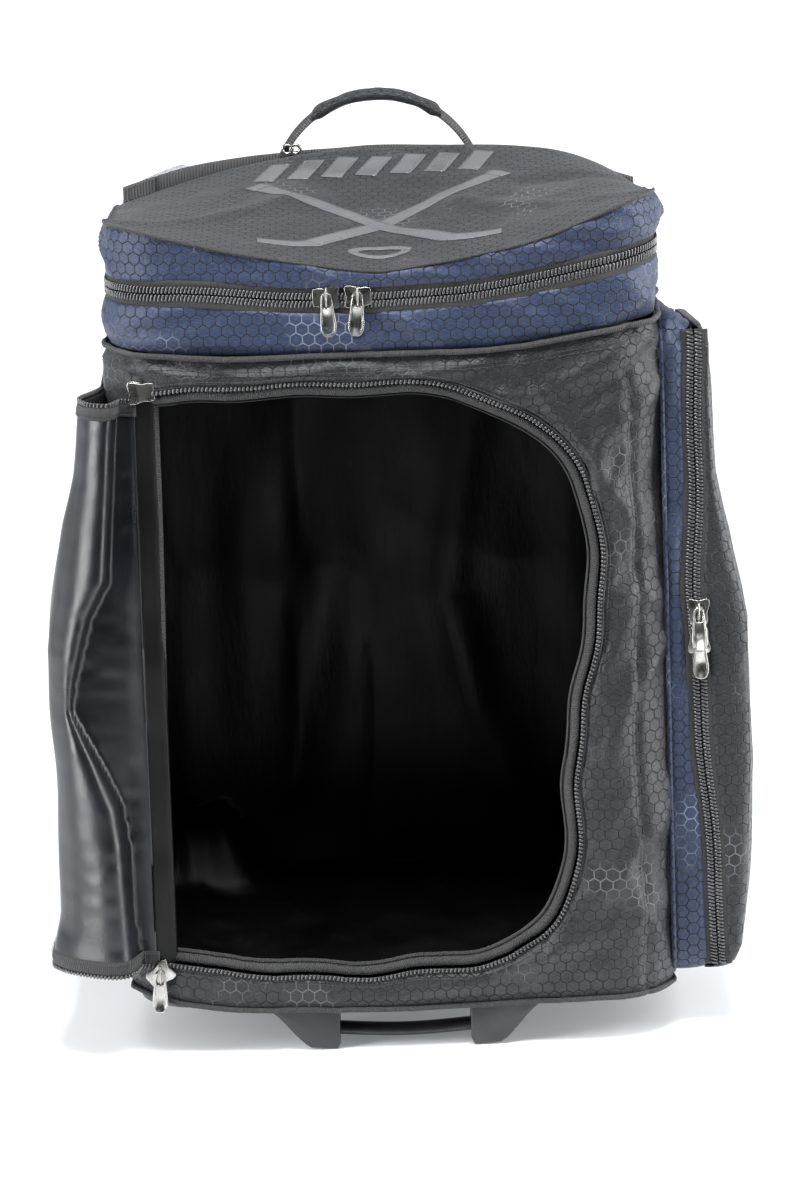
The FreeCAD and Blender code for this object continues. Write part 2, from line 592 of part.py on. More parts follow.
def trolley():
    """Three-stage pull-out handle in the channel behind the back board."""
    for stage, (name, z0, z1) in enumerate((("outer", 46, TUBE_TOP_Z), ("middle", 48, TUBE_TOP_Z + 1),
                                            ("inner", 50, TUBE_TOP_Z + 4))):
        solid = tube(stage, z0, z1)
        NODES["trolley_" + name + "_tubes"] = group(solid, mirrored(solid))

    base_z = FLOOR_Z + 6.7
    base = block(-GRIP_HALF, GRIP_HALF, 157.5, 174.5, base_z, 62)
    for x in (-TUBE_X, TUBE_X):
        pocket = rounded_block(x - TUBE_W / 2 - 0.05, x + TUBE_W / 2 + 0.05, TUBE_Y - TUBE_D / 2 - 0.05,
                               TUBE_Y + TUBE_D / 2 + 0.05, 46, 70, 4.0)
        base = base.cut(pocket)
    NODES["trolley_base"] = base

    rim = rounded_block(-BEZEL_HALF, BEZEL_HALF, BEZEL_FRONT_Y, BEZEL_BACK_Y, SEAM_Z + 30, 640, 7)
    rim = rim.common(under_deck(2.5)).cut(under_deck(0))
    collar = rounded_block(-COLLAR_HALF, COLLAR_HALF, BEZEL_FRONT_Y + 0.5, COLLAR_BACK_Y,
                           SEAM_Z + 48, 640, 6).common(under_deck(1))
    rim_hole = rounded_block(3 - COLLAR_HALF, COLLAR_HALF - 3, BEZEL_FRONT_Y + 0.8, COLLAR_BACK_Y - 0.7,
                             SEAM_Z, 640, 6)
    NODES["trolley_bezel"] = fuse(rim, collar).cut(rim_hole)

    grip_low = TUBE_TOP_Z + 4
    grip = rounded_block(-GRIP_HALF, GRIP_HALF, 158.2, 174.2, grip_low, GRIP_TOP_Z, 6)
    well = rounded_block(-18, 18, 161.5, 170.5, GRIP_TOP_Z - 9, GRIP_TOP_Z + 1, 2)
    rod_channel = block(-TUBE_X - 3, TUBE_X + 3, 163.5, 168.5, grip_low + 3, GRIP_TOP_Z - 15.5)
    stem_hole = z_cylinder(0, TUBE_Y, GRIP_TOP_Z - 16, GRIP_TOP_Z - 8, 1.9)
    spring_seat_z = GRIP_TOP_Z - 14
    spring_bore = z_cylinder(0, TUBE_Y, spring_seat_z, GRIP_TOP_Z - 8, 3.2)
    for hollow in (well, rod_channel, stem_hole, spring_bore):
        grip = grip.cut(hollow)
    for x in (-TUBE_X, TUBE_X):
        grip = grip.cut(block(x - 2.6, x + 2.6, 163.5, 168.5, grip_low - 1, grip_low + 4))
    NODES["trolley_grip"] = grip

    button_low = GRIP_TOP_Z - 4
    button = rounded_block(-17.5, 17.5, 162, 170, button_low, GRIP_TOP_Z + 1.2, 1.5)
    NODES["trolley_release_button"] = button
    coil = z_cylinder(0, TUBE_Y, spring_seat_z + 0.1, button_low - 0.1, 2.6)
    NODES["button_spring"] = coil.cut(z_cylinder(0, TUBE_Y, grip_low, GRIP_TOP_Z, 1.8))
    cross_low = grip_low + 8
    cross = block(-TUBE_X - 1.5, TUBE_X + 1.5, 164.5, 167.5, cross_low, cross_low + 3)
    rods = [block(x - 1.5, x + 1.5, 164.5, 167.5, 70, cross_low + 1) for x in (-TUBE_X, TUBE_X)]
    stem = z_cylinder(0, TUBE_Y, cross_low + 1, button_low, 1.5)
    NODES["trolley_push_rods"] = fuse(cross, stem, *rods)


# ---- build ------------------------------------------------------------------------
def build():
    """Make every piece, move the origin under the middle of the assembly and export."""
    body_panels()
    stiffeners()
    lining()
    seam_piping()
    top_compartment()
    carry_handle()
    flap()
    side_pocket()
    sliders()
    foot_bracket()
    screws()
    wheels()
    trolley()
    box = Part.makeCompound(list(NODES.values())).optimalBoundingBox()
    shift = Vector(-(box.XMin + box.XMax) / 2, -(box.YMin + box.YMax) / 2, -box.ZMin)
    os.makedirs("parts", exist_ok=True)
    for name, solid in NODES.items():
        solid.translate(shift)
        solid.exportStep("parts/" + name + ".step")
    print("shift", round(shift.x, 3), round(shift.y, 3), round(shift.z, 3))
    print("size", round(box.XLength, 1), round(box.YLength, 1), round(box.ZLength, 1))
    for name, solid in NODES.items():
        print(name, len(solid.Solids), solid.isValid(), round(solid.Volume / 1000, 2), "cm3")


build()
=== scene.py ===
"""Looks of the upright wheeled hockey bag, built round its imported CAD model.

Lengths are millimetres in the bag's own frame: X = 0 is the middle of the fabric body,
-Y is the front and Z = 0 is the ground. to_scene() turns them into the scene's metres.
"""
import math
from contextlib import contextmanager

import bmesh
import bpy
import numpy as np
from mathutils import Matrix, Vector


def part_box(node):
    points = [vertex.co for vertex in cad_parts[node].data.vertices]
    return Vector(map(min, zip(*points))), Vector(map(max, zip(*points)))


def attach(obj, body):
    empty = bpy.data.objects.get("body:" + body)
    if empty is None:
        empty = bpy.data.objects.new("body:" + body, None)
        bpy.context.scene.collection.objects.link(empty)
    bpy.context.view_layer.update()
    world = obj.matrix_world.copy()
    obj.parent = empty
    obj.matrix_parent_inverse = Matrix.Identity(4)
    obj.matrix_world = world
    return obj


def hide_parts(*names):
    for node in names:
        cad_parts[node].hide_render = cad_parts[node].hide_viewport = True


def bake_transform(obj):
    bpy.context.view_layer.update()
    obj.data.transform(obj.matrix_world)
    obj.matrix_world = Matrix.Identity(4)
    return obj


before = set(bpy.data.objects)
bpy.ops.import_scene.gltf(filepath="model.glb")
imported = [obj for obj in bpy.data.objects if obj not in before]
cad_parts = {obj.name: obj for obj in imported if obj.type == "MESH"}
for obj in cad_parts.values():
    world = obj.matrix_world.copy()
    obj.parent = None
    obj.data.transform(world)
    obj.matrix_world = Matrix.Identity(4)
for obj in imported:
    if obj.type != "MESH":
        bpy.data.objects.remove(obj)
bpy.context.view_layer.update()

# ---- driving dimensions, mm -------------------------------------------------------
MM = 0.001
FORWARD = np.array([0.0, -1.0, 0.0])         # out of the front
HALF_WIDTH = 193.0
FRONT_Y = -170.0
BACK_Y = 186.0
CORNER_R = 45.0
FLOOR_Z = 32.0
FABRIC = 3.0
SHELL_LOW_Z = FLOOR_Z + FABRIC
SEAM_Z = 509.0
SIDE_START_Y = -125.0
BACK_START_Y = 141.0
FRONT_HALF = HALF_WIDTH - CORNER_R
ARC = CORNER_R * math.pi / 2
SIDE_S = FRONT_HALF + ARC                   # outline distance where the sides start
BACK_S = SIDE_S + BACK_START_Y - SIDE_START_Y
REAR_S = BACK_S + ARC                       # and where the back face starts
HALF_OUTLINE = REAR_S + FRONT_HALF

OPENING_LEFT = -174.0
OPENING_RIGHT = 141.0
OPENING_BOTTOM = 62.0
OPENING_TOP = 487.0
OPENING_TOP_R = 105.0
OPENING_BOTTOM_R = 84.0
TAPE = 9.5
TAPE_Y = FRONT_Y + FABRIC / 2

ZIP_Z = 550.5
HINGE_Y = 126.0
LID_END_S = SIDE_S + HINGE_Y - 8 - SIDE_START_Y
STRAP_Y = 144.0
SLOT_HALF = 118.0
SLOT_FRONT_Y = 156.5
SLOT_BACK_Y = 176.5

FLAP_FOLD = 62.0             # hinge to the fold of the opened flap
FLAP_EDGE = 7.6              # edge of the flap's cloth inside the meeting line of its zip
FLAP_BEND = 14.0             # half length of cloth taken up by the fold

HANDLE_HALF_SPAN = 67.0
HANDLE_BASE_Z = 603.5
HANDLE_RISE = 38.0

POCKET_FRONT_Y = -148.0
POCKET_REAR_Y = 128.0
POCKET_LOW_Z = 40.0
POCKET_TOP_Z = 520.0
POCKET_ZIP_X = 217.0
POCKET_R = 26.0
POCKET_WALL_X = 194.0        # where the gusset meets the bag's side
POCKET_TOP_SLOPE = 0.16      # the pocket's top falls towards the back

LID_SLIDERS_X = -27.5
SLIDER_AT = {
    "lid_zip_left": (LID_SLIDERS_X - 11, TAPE_Y, ZIP_Z),
    "lid_zip_right": (LID_SLIDERS_X + 11, TAPE_Y, ZIP_Z),
    "main_zip_upper": (OPENING_LEFT + 4, TAPE_Y, OPENING_TOP),
    "main_zip_lower": (OPENING_LEFT, TAPE_Y, OPENING_BOTTOM),
    "pocket_zip_upper": (POCKET_ZIP_X, POCKET_FRONT_Y + FABRIC / 2, 311.0),
    "pocket_zip_lower": (POCKET_ZIP_X, POCKET_FRONT_Y + FABRIC / 2, 290.0),
}

_front_low, _front_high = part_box("front_panel")
ORIGIN = np.array([
    (_front_low.x + _front_high.x) / 2,
    _front_low.y - FRONT_Y * MM,
    _front_low.z - SHELL_LOW_Z * MM,
])


def to_scene(points):
    """Bag millimetres to scene metres."""
    return np.asarray(points, float) * MM + ORIGIN


# ---- small maths ------------------------------------------------------------------
def ease(low, high, value):
    """0 before low, 1 after high, smooth between; low may be above high."""
    t = np.clip((np.asarray(value, float) - low) / (high - low), 0, 1)
    return t * t * (3 - 2 * t)


def hump(value, centre, width):
    """1 at centre, falling away smoothly over width."""
    return np.exp(-((np.asarray(value, float) - centre) / width) ** 2)


def ripples(u, v, size, seed):
    """Smooth random height from -1 to 1 whose features are about size mm across."""
    lattice = np.random.default_rng(seed).uniform(-1, 1, (64, 64))
    a = np.asarray(u, float) / size + 20
    b = np.asarray(v, float) / size + 20
    ia, ib = np.floor(a).astype(int), np.floor(b).astype(int)
    fa, fb = ease(0, 1, a - ia), ease(0, 1, b - ib)
    near = lattice[ia % 64, ib % 64] * (1 - fa) + lattice[(ia + 1) % 64, ib % 64] * fa
    far = lattice[ia % 64, (ib + 1) % 64] * (1 - fa) + lattice[(ia + 1) % 64, (ib + 1) % 64] * fa
    return near * (1 - fb) + far * fb


def crumple(u, v, size, seed):
    """Sharp-edged folds, from 0 to 1: ridges where smooth noise changes sign."""
    return (1 - np.abs(ripples(u, v, size, seed))) ** 3


def fold_line(u, v, points, width):
    """1 along a line through points, falling away over width and towards its ends."""
    height = np.zeros(np.broadcast(u, v).shape)
    for (u0, v0), (u1, v1) in zip(points, points[1:]):
        du, dv = u1 - u0, v1 - v0
        t = np.clip(((u - u0) * du + (v - v0) * dv) / (du * du + dv * dv), 0, 1)
        away = np.hypot(u - u0 - t * du, v - v0 - t * dv)
        height = np.maximum(height, np.exp(-(away / width) ** 2))
    return height


def fold_lines(u, v, table):
    """Several folds together; each row is height, width and points."""
    return sum(height * fold_line(u, v, points, width) for height, width, points in table)


def unit(vectors):
    """The same directions with length 1."""
    vectors = np.asarray(vectors, float)
    return vectors / np.maximum(np.linalg.norm(vectors, axis=-1, keepdims=True), 1e-9)


def outline(s, grow=0.0):
    """Points and outward directions on the plan outline, s mm round it from the front's middle."""
    s = np.asarray(s, float)
    a = np.abs(s)
    side = np.where(s < 0, -1.0, 1.0)
    front = np.clip((a - FRONT_HALF) / CORNER_R, 0, math.pi / 2)
    rear = np.clip((a - BACK_S) / CORNER_R, 0, math.pi / 2)
    angle = front + rear
    nx, ny = np.sin(angle), -np.cos(angle)
    x = np.minimum(a, FRONT_HALF) - np.maximum(a - REAR_S, 0) + CORNER_R * nx
    y = SIDE_START_Y + np.clip(a - SIDE_S, 0, BACK_S - SIDE_S) + CORNER_R * ny
    return (x + grow * nx) * side, y + grow * ny, nx * side, ny


def outline_points(s, z, grow=0.0):
    """Points on the plan outline at the heights z, with their outward directions."""
    x, y, nx, ny = outline(s, grow)
    x, y, z, nx, ny = np.broadcast_arrays(x, y, z, nx, ny)
    return np.stack([x, y, z], axis=-1), np.stack([nx, ny, np.zeros_like(nx)], axis=-1)


def path_run(path):
    """Distance along a path at each of its points."""
    steps = np.linalg.norm(np.diff(np.asarray(path, float), axis=0), axis=1)
    return np.concatenate([[0], np.cumsum(steps)])


def at_distances(columns, run, where):
    """Rows of columns, known at the distances run, read at the distances where."""
    return np.stack([np.interp(where, run, column) for column in np.asarray(columns, float).T], axis=1)


def evenly(path, count):
    """A path as count evenly spaced points."""
    run = path_run(path)
    return at_distances(path, run, np.linspace(0, run[-1], count))


def resample(path, pitch):
    """Points every pitch along a path, with their directions of travel."""
    run = path_run(path)
    count = max(int(run[-1] / pitch), 2)
    where = (np.arange(count) + 0.5) * run[-1] / count
    ahead = at_distances(path, run, np.minimum(where + 1, run[-1]))
    behind = at_distances(path, run, np.maximum(where - 1, 0))
    return at_distances(path, run, where), unit(ahead - behind)


def arc(centre, radius, start, stop, count=24):
    """Points on a circle between two angles in degrees."""
    turn = np.radians(np.linspace(start, stop, count))
    return np.stack([centre[0] + radius * np.cos(turn), centre[1] + radius * np.sin(turn)], axis=1)


# ---- mesh makers ------------------------------------------------------------------
def mesh_piece(name, points, faces, materials, loop_uv=None, smooth=True):
    """A linked mesh object from bag-frame points."""
    mesh = bpy.data.meshes.new(name)
    mesh.from_pydata(to_scene(points).tolist(), [], faces)
    if loop_uv is not None:
        layer = mesh.uv_layers.new(name="cloth")
        layer.data.foreach_set("uv", np.asarray(loop_uv, float).ravel() * MM)
    mesh.polygons.foreach_set("use_smooth", [smooth] * len(mesh.polygons))
    for material in materials if isinstance(materials, (list, tuple)) else [materials]:
        mesh.materials.append(material)
    piece = bpy.data.objects.new(name, mesh)
    bpy.context.scene.collection.objects.link(piece)
    return piece


def thicken(piece, thick, both_faces=False):
    """Give a sheet its thickness, inwards from its face; both_faces uses material 2 inside."""
    modifier = piece.modifiers.new("thickness", "SOLIDIFY")
    modifier.thickness = thick * MM
    modifier.offset = -1
    if both_faces:
        modifier.material_offset = 1
    return piece


def grid_piece(name, points, flat, materials, thick=0.0, loop=False, flip=False, keep=None,
               both_faces=False):
    """Cloth from a grid of points; flat says where each lay on the uncut cloth, in mm."""
    points, flat = np.asarray(points, float), np.asarray(flat, float)
    rows, cols = points.shape[:2]
    if loop and flat.shape[1] == cols:
        flat = np.concatenate([flat, flat[:, :1]], axis=1)
    r, c = np.meshgrid(np.arange(rows - 1), np.arange(cols if loop else cols - 1), indexing="ij")
    r, c = r.ravel(), c.ravel()
    if keep is not None:
        wanted = keep[r, c]
        r, c = r[wanted], c[wanted]
    corners = [(r, c), (r, c + 1), (r + 1, c + 1), (r + 1, c)]
    if flip:
        corners.reverse()
    faces = np.stack([i * cols + j % cols for i, j in corners], axis=1)
    uv = np.stack([flat[i, j] for i, j in corners], axis=1)
    piece = mesh_piece(name, points.reshape(-1, 3), faces.tolist(), materials, uv.reshape(-1, 2))
    if keep is not None:
        drop_loose(piece)
    if thick:
        thicken(piece, thick, both_faces)
    return piece


def face_middles(points):
    """x, y and z of the middle of each face in a grid of points."""
    return np.moveaxis((points[:-1, :-1] + points[1:, 1:]) / 2, -1, 0)


def ring_faces(rings, sides, first=0, joined=False):
    """Faces between successive rings of points; joined adds those from the last ring to the first."""
    faces = []
    for ring in range(rings if joined else rings - 1):
        low, high = first + ring * sides, first + (ring + 1) % rings * sides
        for side in range(sides):
            n = (side + 1) % sides
            faces.append((low + side, low + n, high + n, high + side))
    return faces


@contextmanager
def mesh_edit(piece):
    """Lend a piece's mesh for editing, then put it back."""
    bm = bmesh.new()
    bm.from_mesh(piece.data)
    yield bm
    bm.to_mesh(piece.data)
    bm.free()


def drop_loose(piece):
    """Remove points that no face uses."""
    with mesh_edit(piece) as bm:
        bmesh.ops.delete(bm, geom=[v for v in bm.verts if not v.link_faces], context="VERTS")


def weld(piece, reach=0.05):
    """Join points that lie within reach of one another."""
    with mesh_edit(piece) as bm:
        bmesh.ops.remove_doubles(bm, verts=bm.verts, dist=reach * MM)


def face_outwards(piece):
    """Turn every face outwards."""
    with mesh_edit(piece) as bm:
        bmesh.ops.recalc_face_normals(bm, faces=bm.faces)


def close_ends(piece, sides):
    """Close the open ends of a tube-like mesh that has up to that many sides."""
    with mesh_edit(piece) as bm:
        bmesh.ops.holes_fill(bm, edges=[e for e in bm.edges if e.is_boundary], sides=sides)
    face_outwards(piece)


def soften(piece, bevel):
    """Outward faces and rounded edges for a hard piece."""
    face_outwards(piece)
    modifier = piece.modifiers.new("soft_edges", "BEVEL")
    modifier.width = bevel * MM
    modifier.segments = 3
    modifier.limit_method = "ANGLE"


def strip_piece(name, path, across, normal, profile, material):
    """Ribbon along a path; profile lists (distance across, height) pairs."""
    run = path_run(path)
    rows = [path + across * d + normal * h for d, h in profile]
    flat = [np.stack([run, np.full(len(run), d)], axis=1) for d, _ in profile]
    return grid_piece(name, np.stack(rows), np.stack(flat), material)


def tube_points(path, normal, radius, sides=8, flatten=1.0):
    """Grid of points round a path; flatten squeezes it along the normal."""
    path = np.asarray(path, float)
    travel = unit(np.gradient(path, axis=0))
    normal = np.asarray(normal, float) * np.ones_like(path)
    normal = unit(normal - travel * np.sum(normal * travel, axis=1, keepdims=True))
    across = np.cross(travel, normal)
    turns = np.arange(sides) * 2 * math.pi / sides
    radius = np.asarray(radius, float) * np.ones(len(path))
    return np.stack([path + radius[:, None] * (np.cos(t) * across + flatten * np.sin(t) * normal)
                     for t in turns], axis=1)


def tube_piece(name, path, normal, radius, material, sides=8, flatten=1.0, closed=False):
    """Round or flattened tube; an open one gets closed ends."""
    points = tube_points(path, normal, radius, sides, flatten)
    if closed:
        points = np.concatenate([points, points[:1]], axis=0)
        path = np.vstack([path, path[:1]])
    girth = np.arange(sides + 1) * 2 * math.pi * float(np.mean(radius)) / sides
    flat = np.stack(np.meshgrid(path_run(path), girth, indexing="ij"), axis=2)
    piece = grid_piece(name, points, flat, material, loop=True)
    if closed:
        weld(piece, 0.02)
        face_outwards(piece)
    else:
        close_ends(piece, sides)
    return piece


def capsule(sides=6):
    """Template of a rounded rib of length 1 and radius 1 along its first axis."""
    rings = ((-0.5, 0.0), (-0.47, 0.6), (-0.36, 1.0), (0.36, 1.0), (0.47, 0.6), (0.5, 0.0))
    points, faces = [(rings[0][0], 0.0, 0.0)], []
    for along, radius in rings[1:-1]:
        for k in range(sides):
            turn = 2 * math.pi * k / sides
            points.append((along, radius * math.cos(turn), radius * math.sin(turn)))
    points.append((rings[-1][0], 0.0, 0.0))
    last = len(points) - 1
    for k in range(sides):
        n = (k + 1) % sides
        faces.append((0, 1 + n, 1 + k))
        faces.append((last, last - sides + k, last - sides + n))
        for ring in range(len(rings) - 3):
            low = 1 + ring * sides
            faces.append((low + k, low + n, low + sides + n, low + sides + k))
    return np.array(points), faces


def ribs_piece(name, centres, along, normal, length, radius, material, sides=6):
    """Many small capsules: zip teeth or stitches."""
    template, faces = capsule(sides)
    along = unit(along)
    normal = unit(np.asarray(normal, float) * np.ones_like(along))
    across = unit(np.cross(along, normal))
    up = np.cross(across, along)
    points = (centres[:, None, :] + template[None, :, 0:1] * length * along[:, None, :]
              + template[None, :, 1:2] * radius * across[:, None, :]
              + template[None, :, 2:3] * radius * up[:, None, :])
    count = len(template)
    made = [tuple(i + count * k for i in face) for k in range(len(centres)) for face in faces]
    return mesh_piece(name, points.reshape(-1, 3), made, material)


def stitches(name, path, normal, material, pitch=3.2, length=2.3, radius=0.22):
    """A row of thread stitches lying on cloth."""
    points, travel = resample(path, pitch)
    where = np.clip(np.searchsorted(path_run(path), np.arange(len(points)) * pitch), 0, len(path) - 1)
    facing = (np.asarray(normal, float) * np.ones((len(path), 3)))[where]
    return ribs_piece(name, points + facing * radius * 0.6, travel, facing, length, radius, material, 5)


def carried_by(pieces, body):
    """Ride pieces on a body."""
    for piece in pieces:
        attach(piece, body)


# ---- materials --------------------------------------------------------------------
class Nodes:
    """A node tree in the making."""

    def __init__(self, tree):
        self.tree = tree

    def add(self, kind, inputs=None, **settings):
        """A new node with its inputs filled by numbers or joined to sockets."""
        made = self.tree.nodes.new(kind)
        for key, value in settings.items():
            setattr(made, key, value)
        for key, value in (inputs or {}).items():
            if isinstance(value, bpy.types.NodeSocket):
                self.tree.links.new(value, made.inputs[key])
            else:
                made.inputs[key].default_value = value
        return made

    def maths(self, operation, *values):
        """One maths step on numbers or sockets."""
        return self.add("ShaderNodeMath", dict(enumerate(values)), operation=operation).outputs[0]

    def vector(self, operation, *values):
        """One vector step on vectors or sockets."""
        return self.add("ShaderNodeVectorMath", dict(enumerate(values)), operation=operation).outputs[0]

    def length(self, value):
        """A vector's length."""
        return self.add("ShaderNodeVectorMath", {0: value}, operation="LENGTH").outputs["Value"]

    def dot(self, a, b):
        """Dot product of two vectors."""
        return self.add("ShaderNodeVectorMath", {0: a, 1: b}, operation="DOT_PRODUCT").outputs["Value"]

    def blend(self, factor, a, b):
        """Colour a where factor is 0, b where it is 1."""
        return self.add("ShaderNodeMix", {0: factor, 6: a, 7: b}, data_type="RGBA").outputs[2]

    def band(self, value, low, high, at_low=0.0, at_high=1.0):
        """Smooth step of a value."""
        return self.add("ShaderNodeMapRange", {0: value, 1: low, 2: high, 3: at_low, 4: at_high},
                        interpolation_type="SMOOTHSTEP").outputs[0]


class Finish(Nodes):
    """A material in the making."""

    def __init__(self, name, **constants):
        self.material = bpy.data.materials.new(name)
        self.material.use_nodes = True
        super().__init__(self.material.node_tree)
        self.tree.nodes.clear()
        self.shader = self.add("ShaderNodeBsdfPrincipled")
        output = self.add("ShaderNodeOutputMaterial")
        self.tree.links.new(self.shader.outputs[0], output.inputs[0])
        for socket, value in constants.items():
            self.shader.inputs[socket.replace("_", " ")].default_value = value

    def noise(self, where, scale, detail=2.0, roughness=0.5):
        """Soft random shade from 0 to 1."""
        return self.add("ShaderNodeTexNoise", {"Vector": where, "Scale": scale, "Detail": detail,
                                               "Roughness": roughness}).outputs[0]

    def cloth(self):
        """Place on the uncut cloth, in metres."""
        return self.add("ShaderNodeUVMap", uv_map="cloth").outputs[0]

    def solid(self):
        """Place in the object, in metres."""
        return self.add("ShaderNodeTexCoord").outputs["Object"]

    def stretched(self, where, x, y, z=1.0):
        """A place scaled along each axis."""
        return self.vector("MULTIPLY", where, (x, y, z))

    def set(self, socket, value):
        """Join a socket or write a number into an input of the shader."""
        if isinstance(value, bpy.types.NodeSocket):
            self.tree.links.new(value, self.shader.inputs[socket])
        else:
            self.shader.inputs[socket].default_value = value

    def bump(self, *layers):
        """Stack (height, strength, distance in mm) bumps on the surface."""
        normal = None
        for height, strength, depth in layers:
            made = self.add("ShaderNodeBump", {"Height": height, "Strength": strength,
                                               "Distance": depth * MM})
            if normal is not None:
                self.tree.links.new(normal, made.inputs["Normal"])
            normal = made.outputs[0]
        self.tree.links.new(normal, self.shader.inputs["Normal"])


def weave(f, where, pitch):
    """Height of a plain weave with the given thread pitch in mm."""
    turns = 2 * math.pi / (pitch * MM)
    waves = f.vector("SINE", f.stretched(where, turns, turns, 0.0))
    parts = f.add("ShaderNodeSeparateXYZ", {0: waves})
    return f.maths("MULTIPLY", parts.outputs[0], parts.outputs[1])


HEX_SIZE = 8.6
HEX_LINE_INSIDE = 0.435              # shares of the size from a cell's middle, where its edge line
HEX_LINE_OUTSIDE = 0.478             # starts and is full


def hexagons(f, where, size):
    """1 on the edges of pointy-top hexagons that are size mm across their flats."""
    tall = math.sqrt(3)
    place = f.stretched(where, 1 / (size * MM), 1 / (size * MM), 0.0)

    def cell(point):
        """Place inside the nearest cell of one rectangular lattice."""
        share = f.vector("FRACTION", f.vector("DIVIDE", point, (1, tall, 1)))
        middle = f.vector("SUBTRACT", f.vector("MULTIPLY", share, (1, tall, 1)), (0.5, tall / 2, 0))
        return f.stretched(middle, 1, 1, 0)

    one = cell(place)
    two = cell(f.vector("ADD", place, (0.5, tall / 2, 0)))
    nearer = f.maths("LESS_THAN", f.length(one), f.length(two))
    mixed = f.add("ShaderNodeMix", {0: nearer, 4: two, 5: one}, data_type="VECTOR").outputs[1]
    folded = f.vector("ABSOLUTE", mixed)
    across = f.add("ShaderNodeSeparateXYZ", {0: folded}).outputs[0]
    edge = f.maths("MAXIMUM", across, f.dot(folded, (0.5, tall / 2, 0)))
    return f.band(edge, HEX_LINE_INSIDE, HEX_LINE_OUTSIDE)


def honeycomb(name, base, heather, dark_line, painted_highlight_line, roughness=0.5):
    """Coated polyester with a fine hexagon pattern whose lines are painted pale in patches, a painted
    highlight where the shiny yarn would catch the light.
    """
    f = Finish(name, Roughness=roughness, Sheen_Weight=0.06, Sheen_Roughness=0.4, Specular_IOR_Level=0.3)
    where = f.cloth()
    lines = hexagons(f, where, HEX_SIZE)
    threads = weave(f, where, 0.55)
    slub = f.noise(f.stretched(where, 260, 1500), 1.0, 3.0)
    cloudy = f.noise(where, 13.0, 3.0)
    cloth = f.blend(f.band(slub, 0.35, 0.7), base, heather)
    # Painted highlight: a noise mask turns the hexagon lines from dark to pale in patches, standing in for
    # the sheen of their shiny yarn.
    lit = f.band(cloudy, 0.52, 0.66)
    line = f.blend(lit, dark_line, painted_highlight_line)
    f.set("Base Color", f.blend(lines, cloth, line))
    shine = f.maths("MULTIPLY_ADD", lines, 0.34, roughness)
    f.set("Roughness", f.maths("MULTIPLY_ADD", cloudy, 0.10, f.maths("SUBTRACT", shine, 0.05)))
    wrinkle = f.noise(where, 42.0, 4.0, 0.62)
    f.bump((wrinkle, 0.85, 3.2), (lines, 0.7, -0.5), (threads, 0.3, 0.12))
    return f.material


def nylon(name, colour, deep, roughness, crease=0.5, coat=0.0, gloss=0.5):
    """Thin shiny lining or coating with fine creases."""
    f = Finish(name, Roughness=roughness, Coat_Weight=coat, Coat_Roughness=0.3, Specular_IOR_Level=gloss)
    where = f.cloth()
    cloudy = f.noise(where, 14.0, 4.0)
    fine = f.noise(f.stretched(where, 90, 30), 1.0, 5.0, 0.65)
    f.set("Base Color", f.blend(f.band(cloudy, 0.3, 0.7), deep, colour))
    f.set("Roughness", f.band(cloudy, 0.2, 0.8, roughness - 0.06, roughness + 0.1))
    f.bump((fine, crease, 1.2), (weave(f, where, 0.5), 0.15, 0.06))
    return f.material


def tape_cloth(name, colour, edge, rib=1.1, roughness=0.7, upright=True):
    """Woven tape or webbing with ribs across it; the ribs' light and shade are painted into its colour."""
    f = Finish(name, Roughness=roughness, Sheen_Weight=0.08, Sheen_Roughness=0.5)
    where = f.cloth()
    turns = 2 * math.pi / (rib * MM)
    waves = f.vector("SINE", f.stretched(where, turns, turns * 0.5, 0.0))
    parts = f.add("ShaderNodeSeparateXYZ", {0: waves})
    ribs = parts.outputs[0] if upright else parts.outputs[1]
    fuzz = f.noise(where, 900.0, 2.0)
    # Painted shade and highlight: the colour follows the rib wave, darker in the hollows and paler on the
    # crests, mixed with random fuzz in the yarn.
    shade = f.maths("MULTIPLY_ADD", ribs, 0.25, fuzz)
    f.set("Base Color", f.blend(f.band(shade, 0.2, 0.9), colour, edge))
    f.bump((ribs, 0.7, 0.3), (fuzz, 0.3, 0.15))
    return f.material


def moulded(name, colour, roughness, grain=700.0, depth=0.12, wear=0.02, gloss=0.5):
    """Moulded plastic with fine grain and slightly rubbed places."""
    f = Finish(name, Roughness=roughness, Specular_IOR_Level=gloss)
    where = f.solid()
    grain_height = f.noise(where, grain, 3.0)
    rubbed = f.noise(where, 28.0, 4.0)
    paler = tuple(c + wear for c in colour[:3]) + (1,)
    f.set("Base Color", f.blend(f.band(rubbed, 0.45, 0.75), colour, paler))
    f.set("Roughness", f.band(rubbed, 0.3, 0.7, roughness - 0.05, roughness + 0.1))
    f.bump((grain_height, 0.4, depth))
    return f.material


def metal(name, colour, roughness, pit_scale=260.0):
    """Plated or drawn metal with faint pitting and smudges."""
    f = Finish(name, Metallic=1.0, Roughness=roughness)
    where = f.solid()
    smudge = f.noise(where, 120.0, 4.0)
    pits = f.noise(where, pit_scale, 3.0)
    darker = tuple(c * 0.75 for c in colour[:3]) + (1,)
    f.set("Base Color", f.blend(f.band(smudge, 0.35, 0.7), darker, colour))
    f.set("Roughness", f.band(smudge, 0.3, 0.75, roughness + 0.12, roughness - 0.04))
    f.bump((pits, 0.35, 0.25))
    return f.material
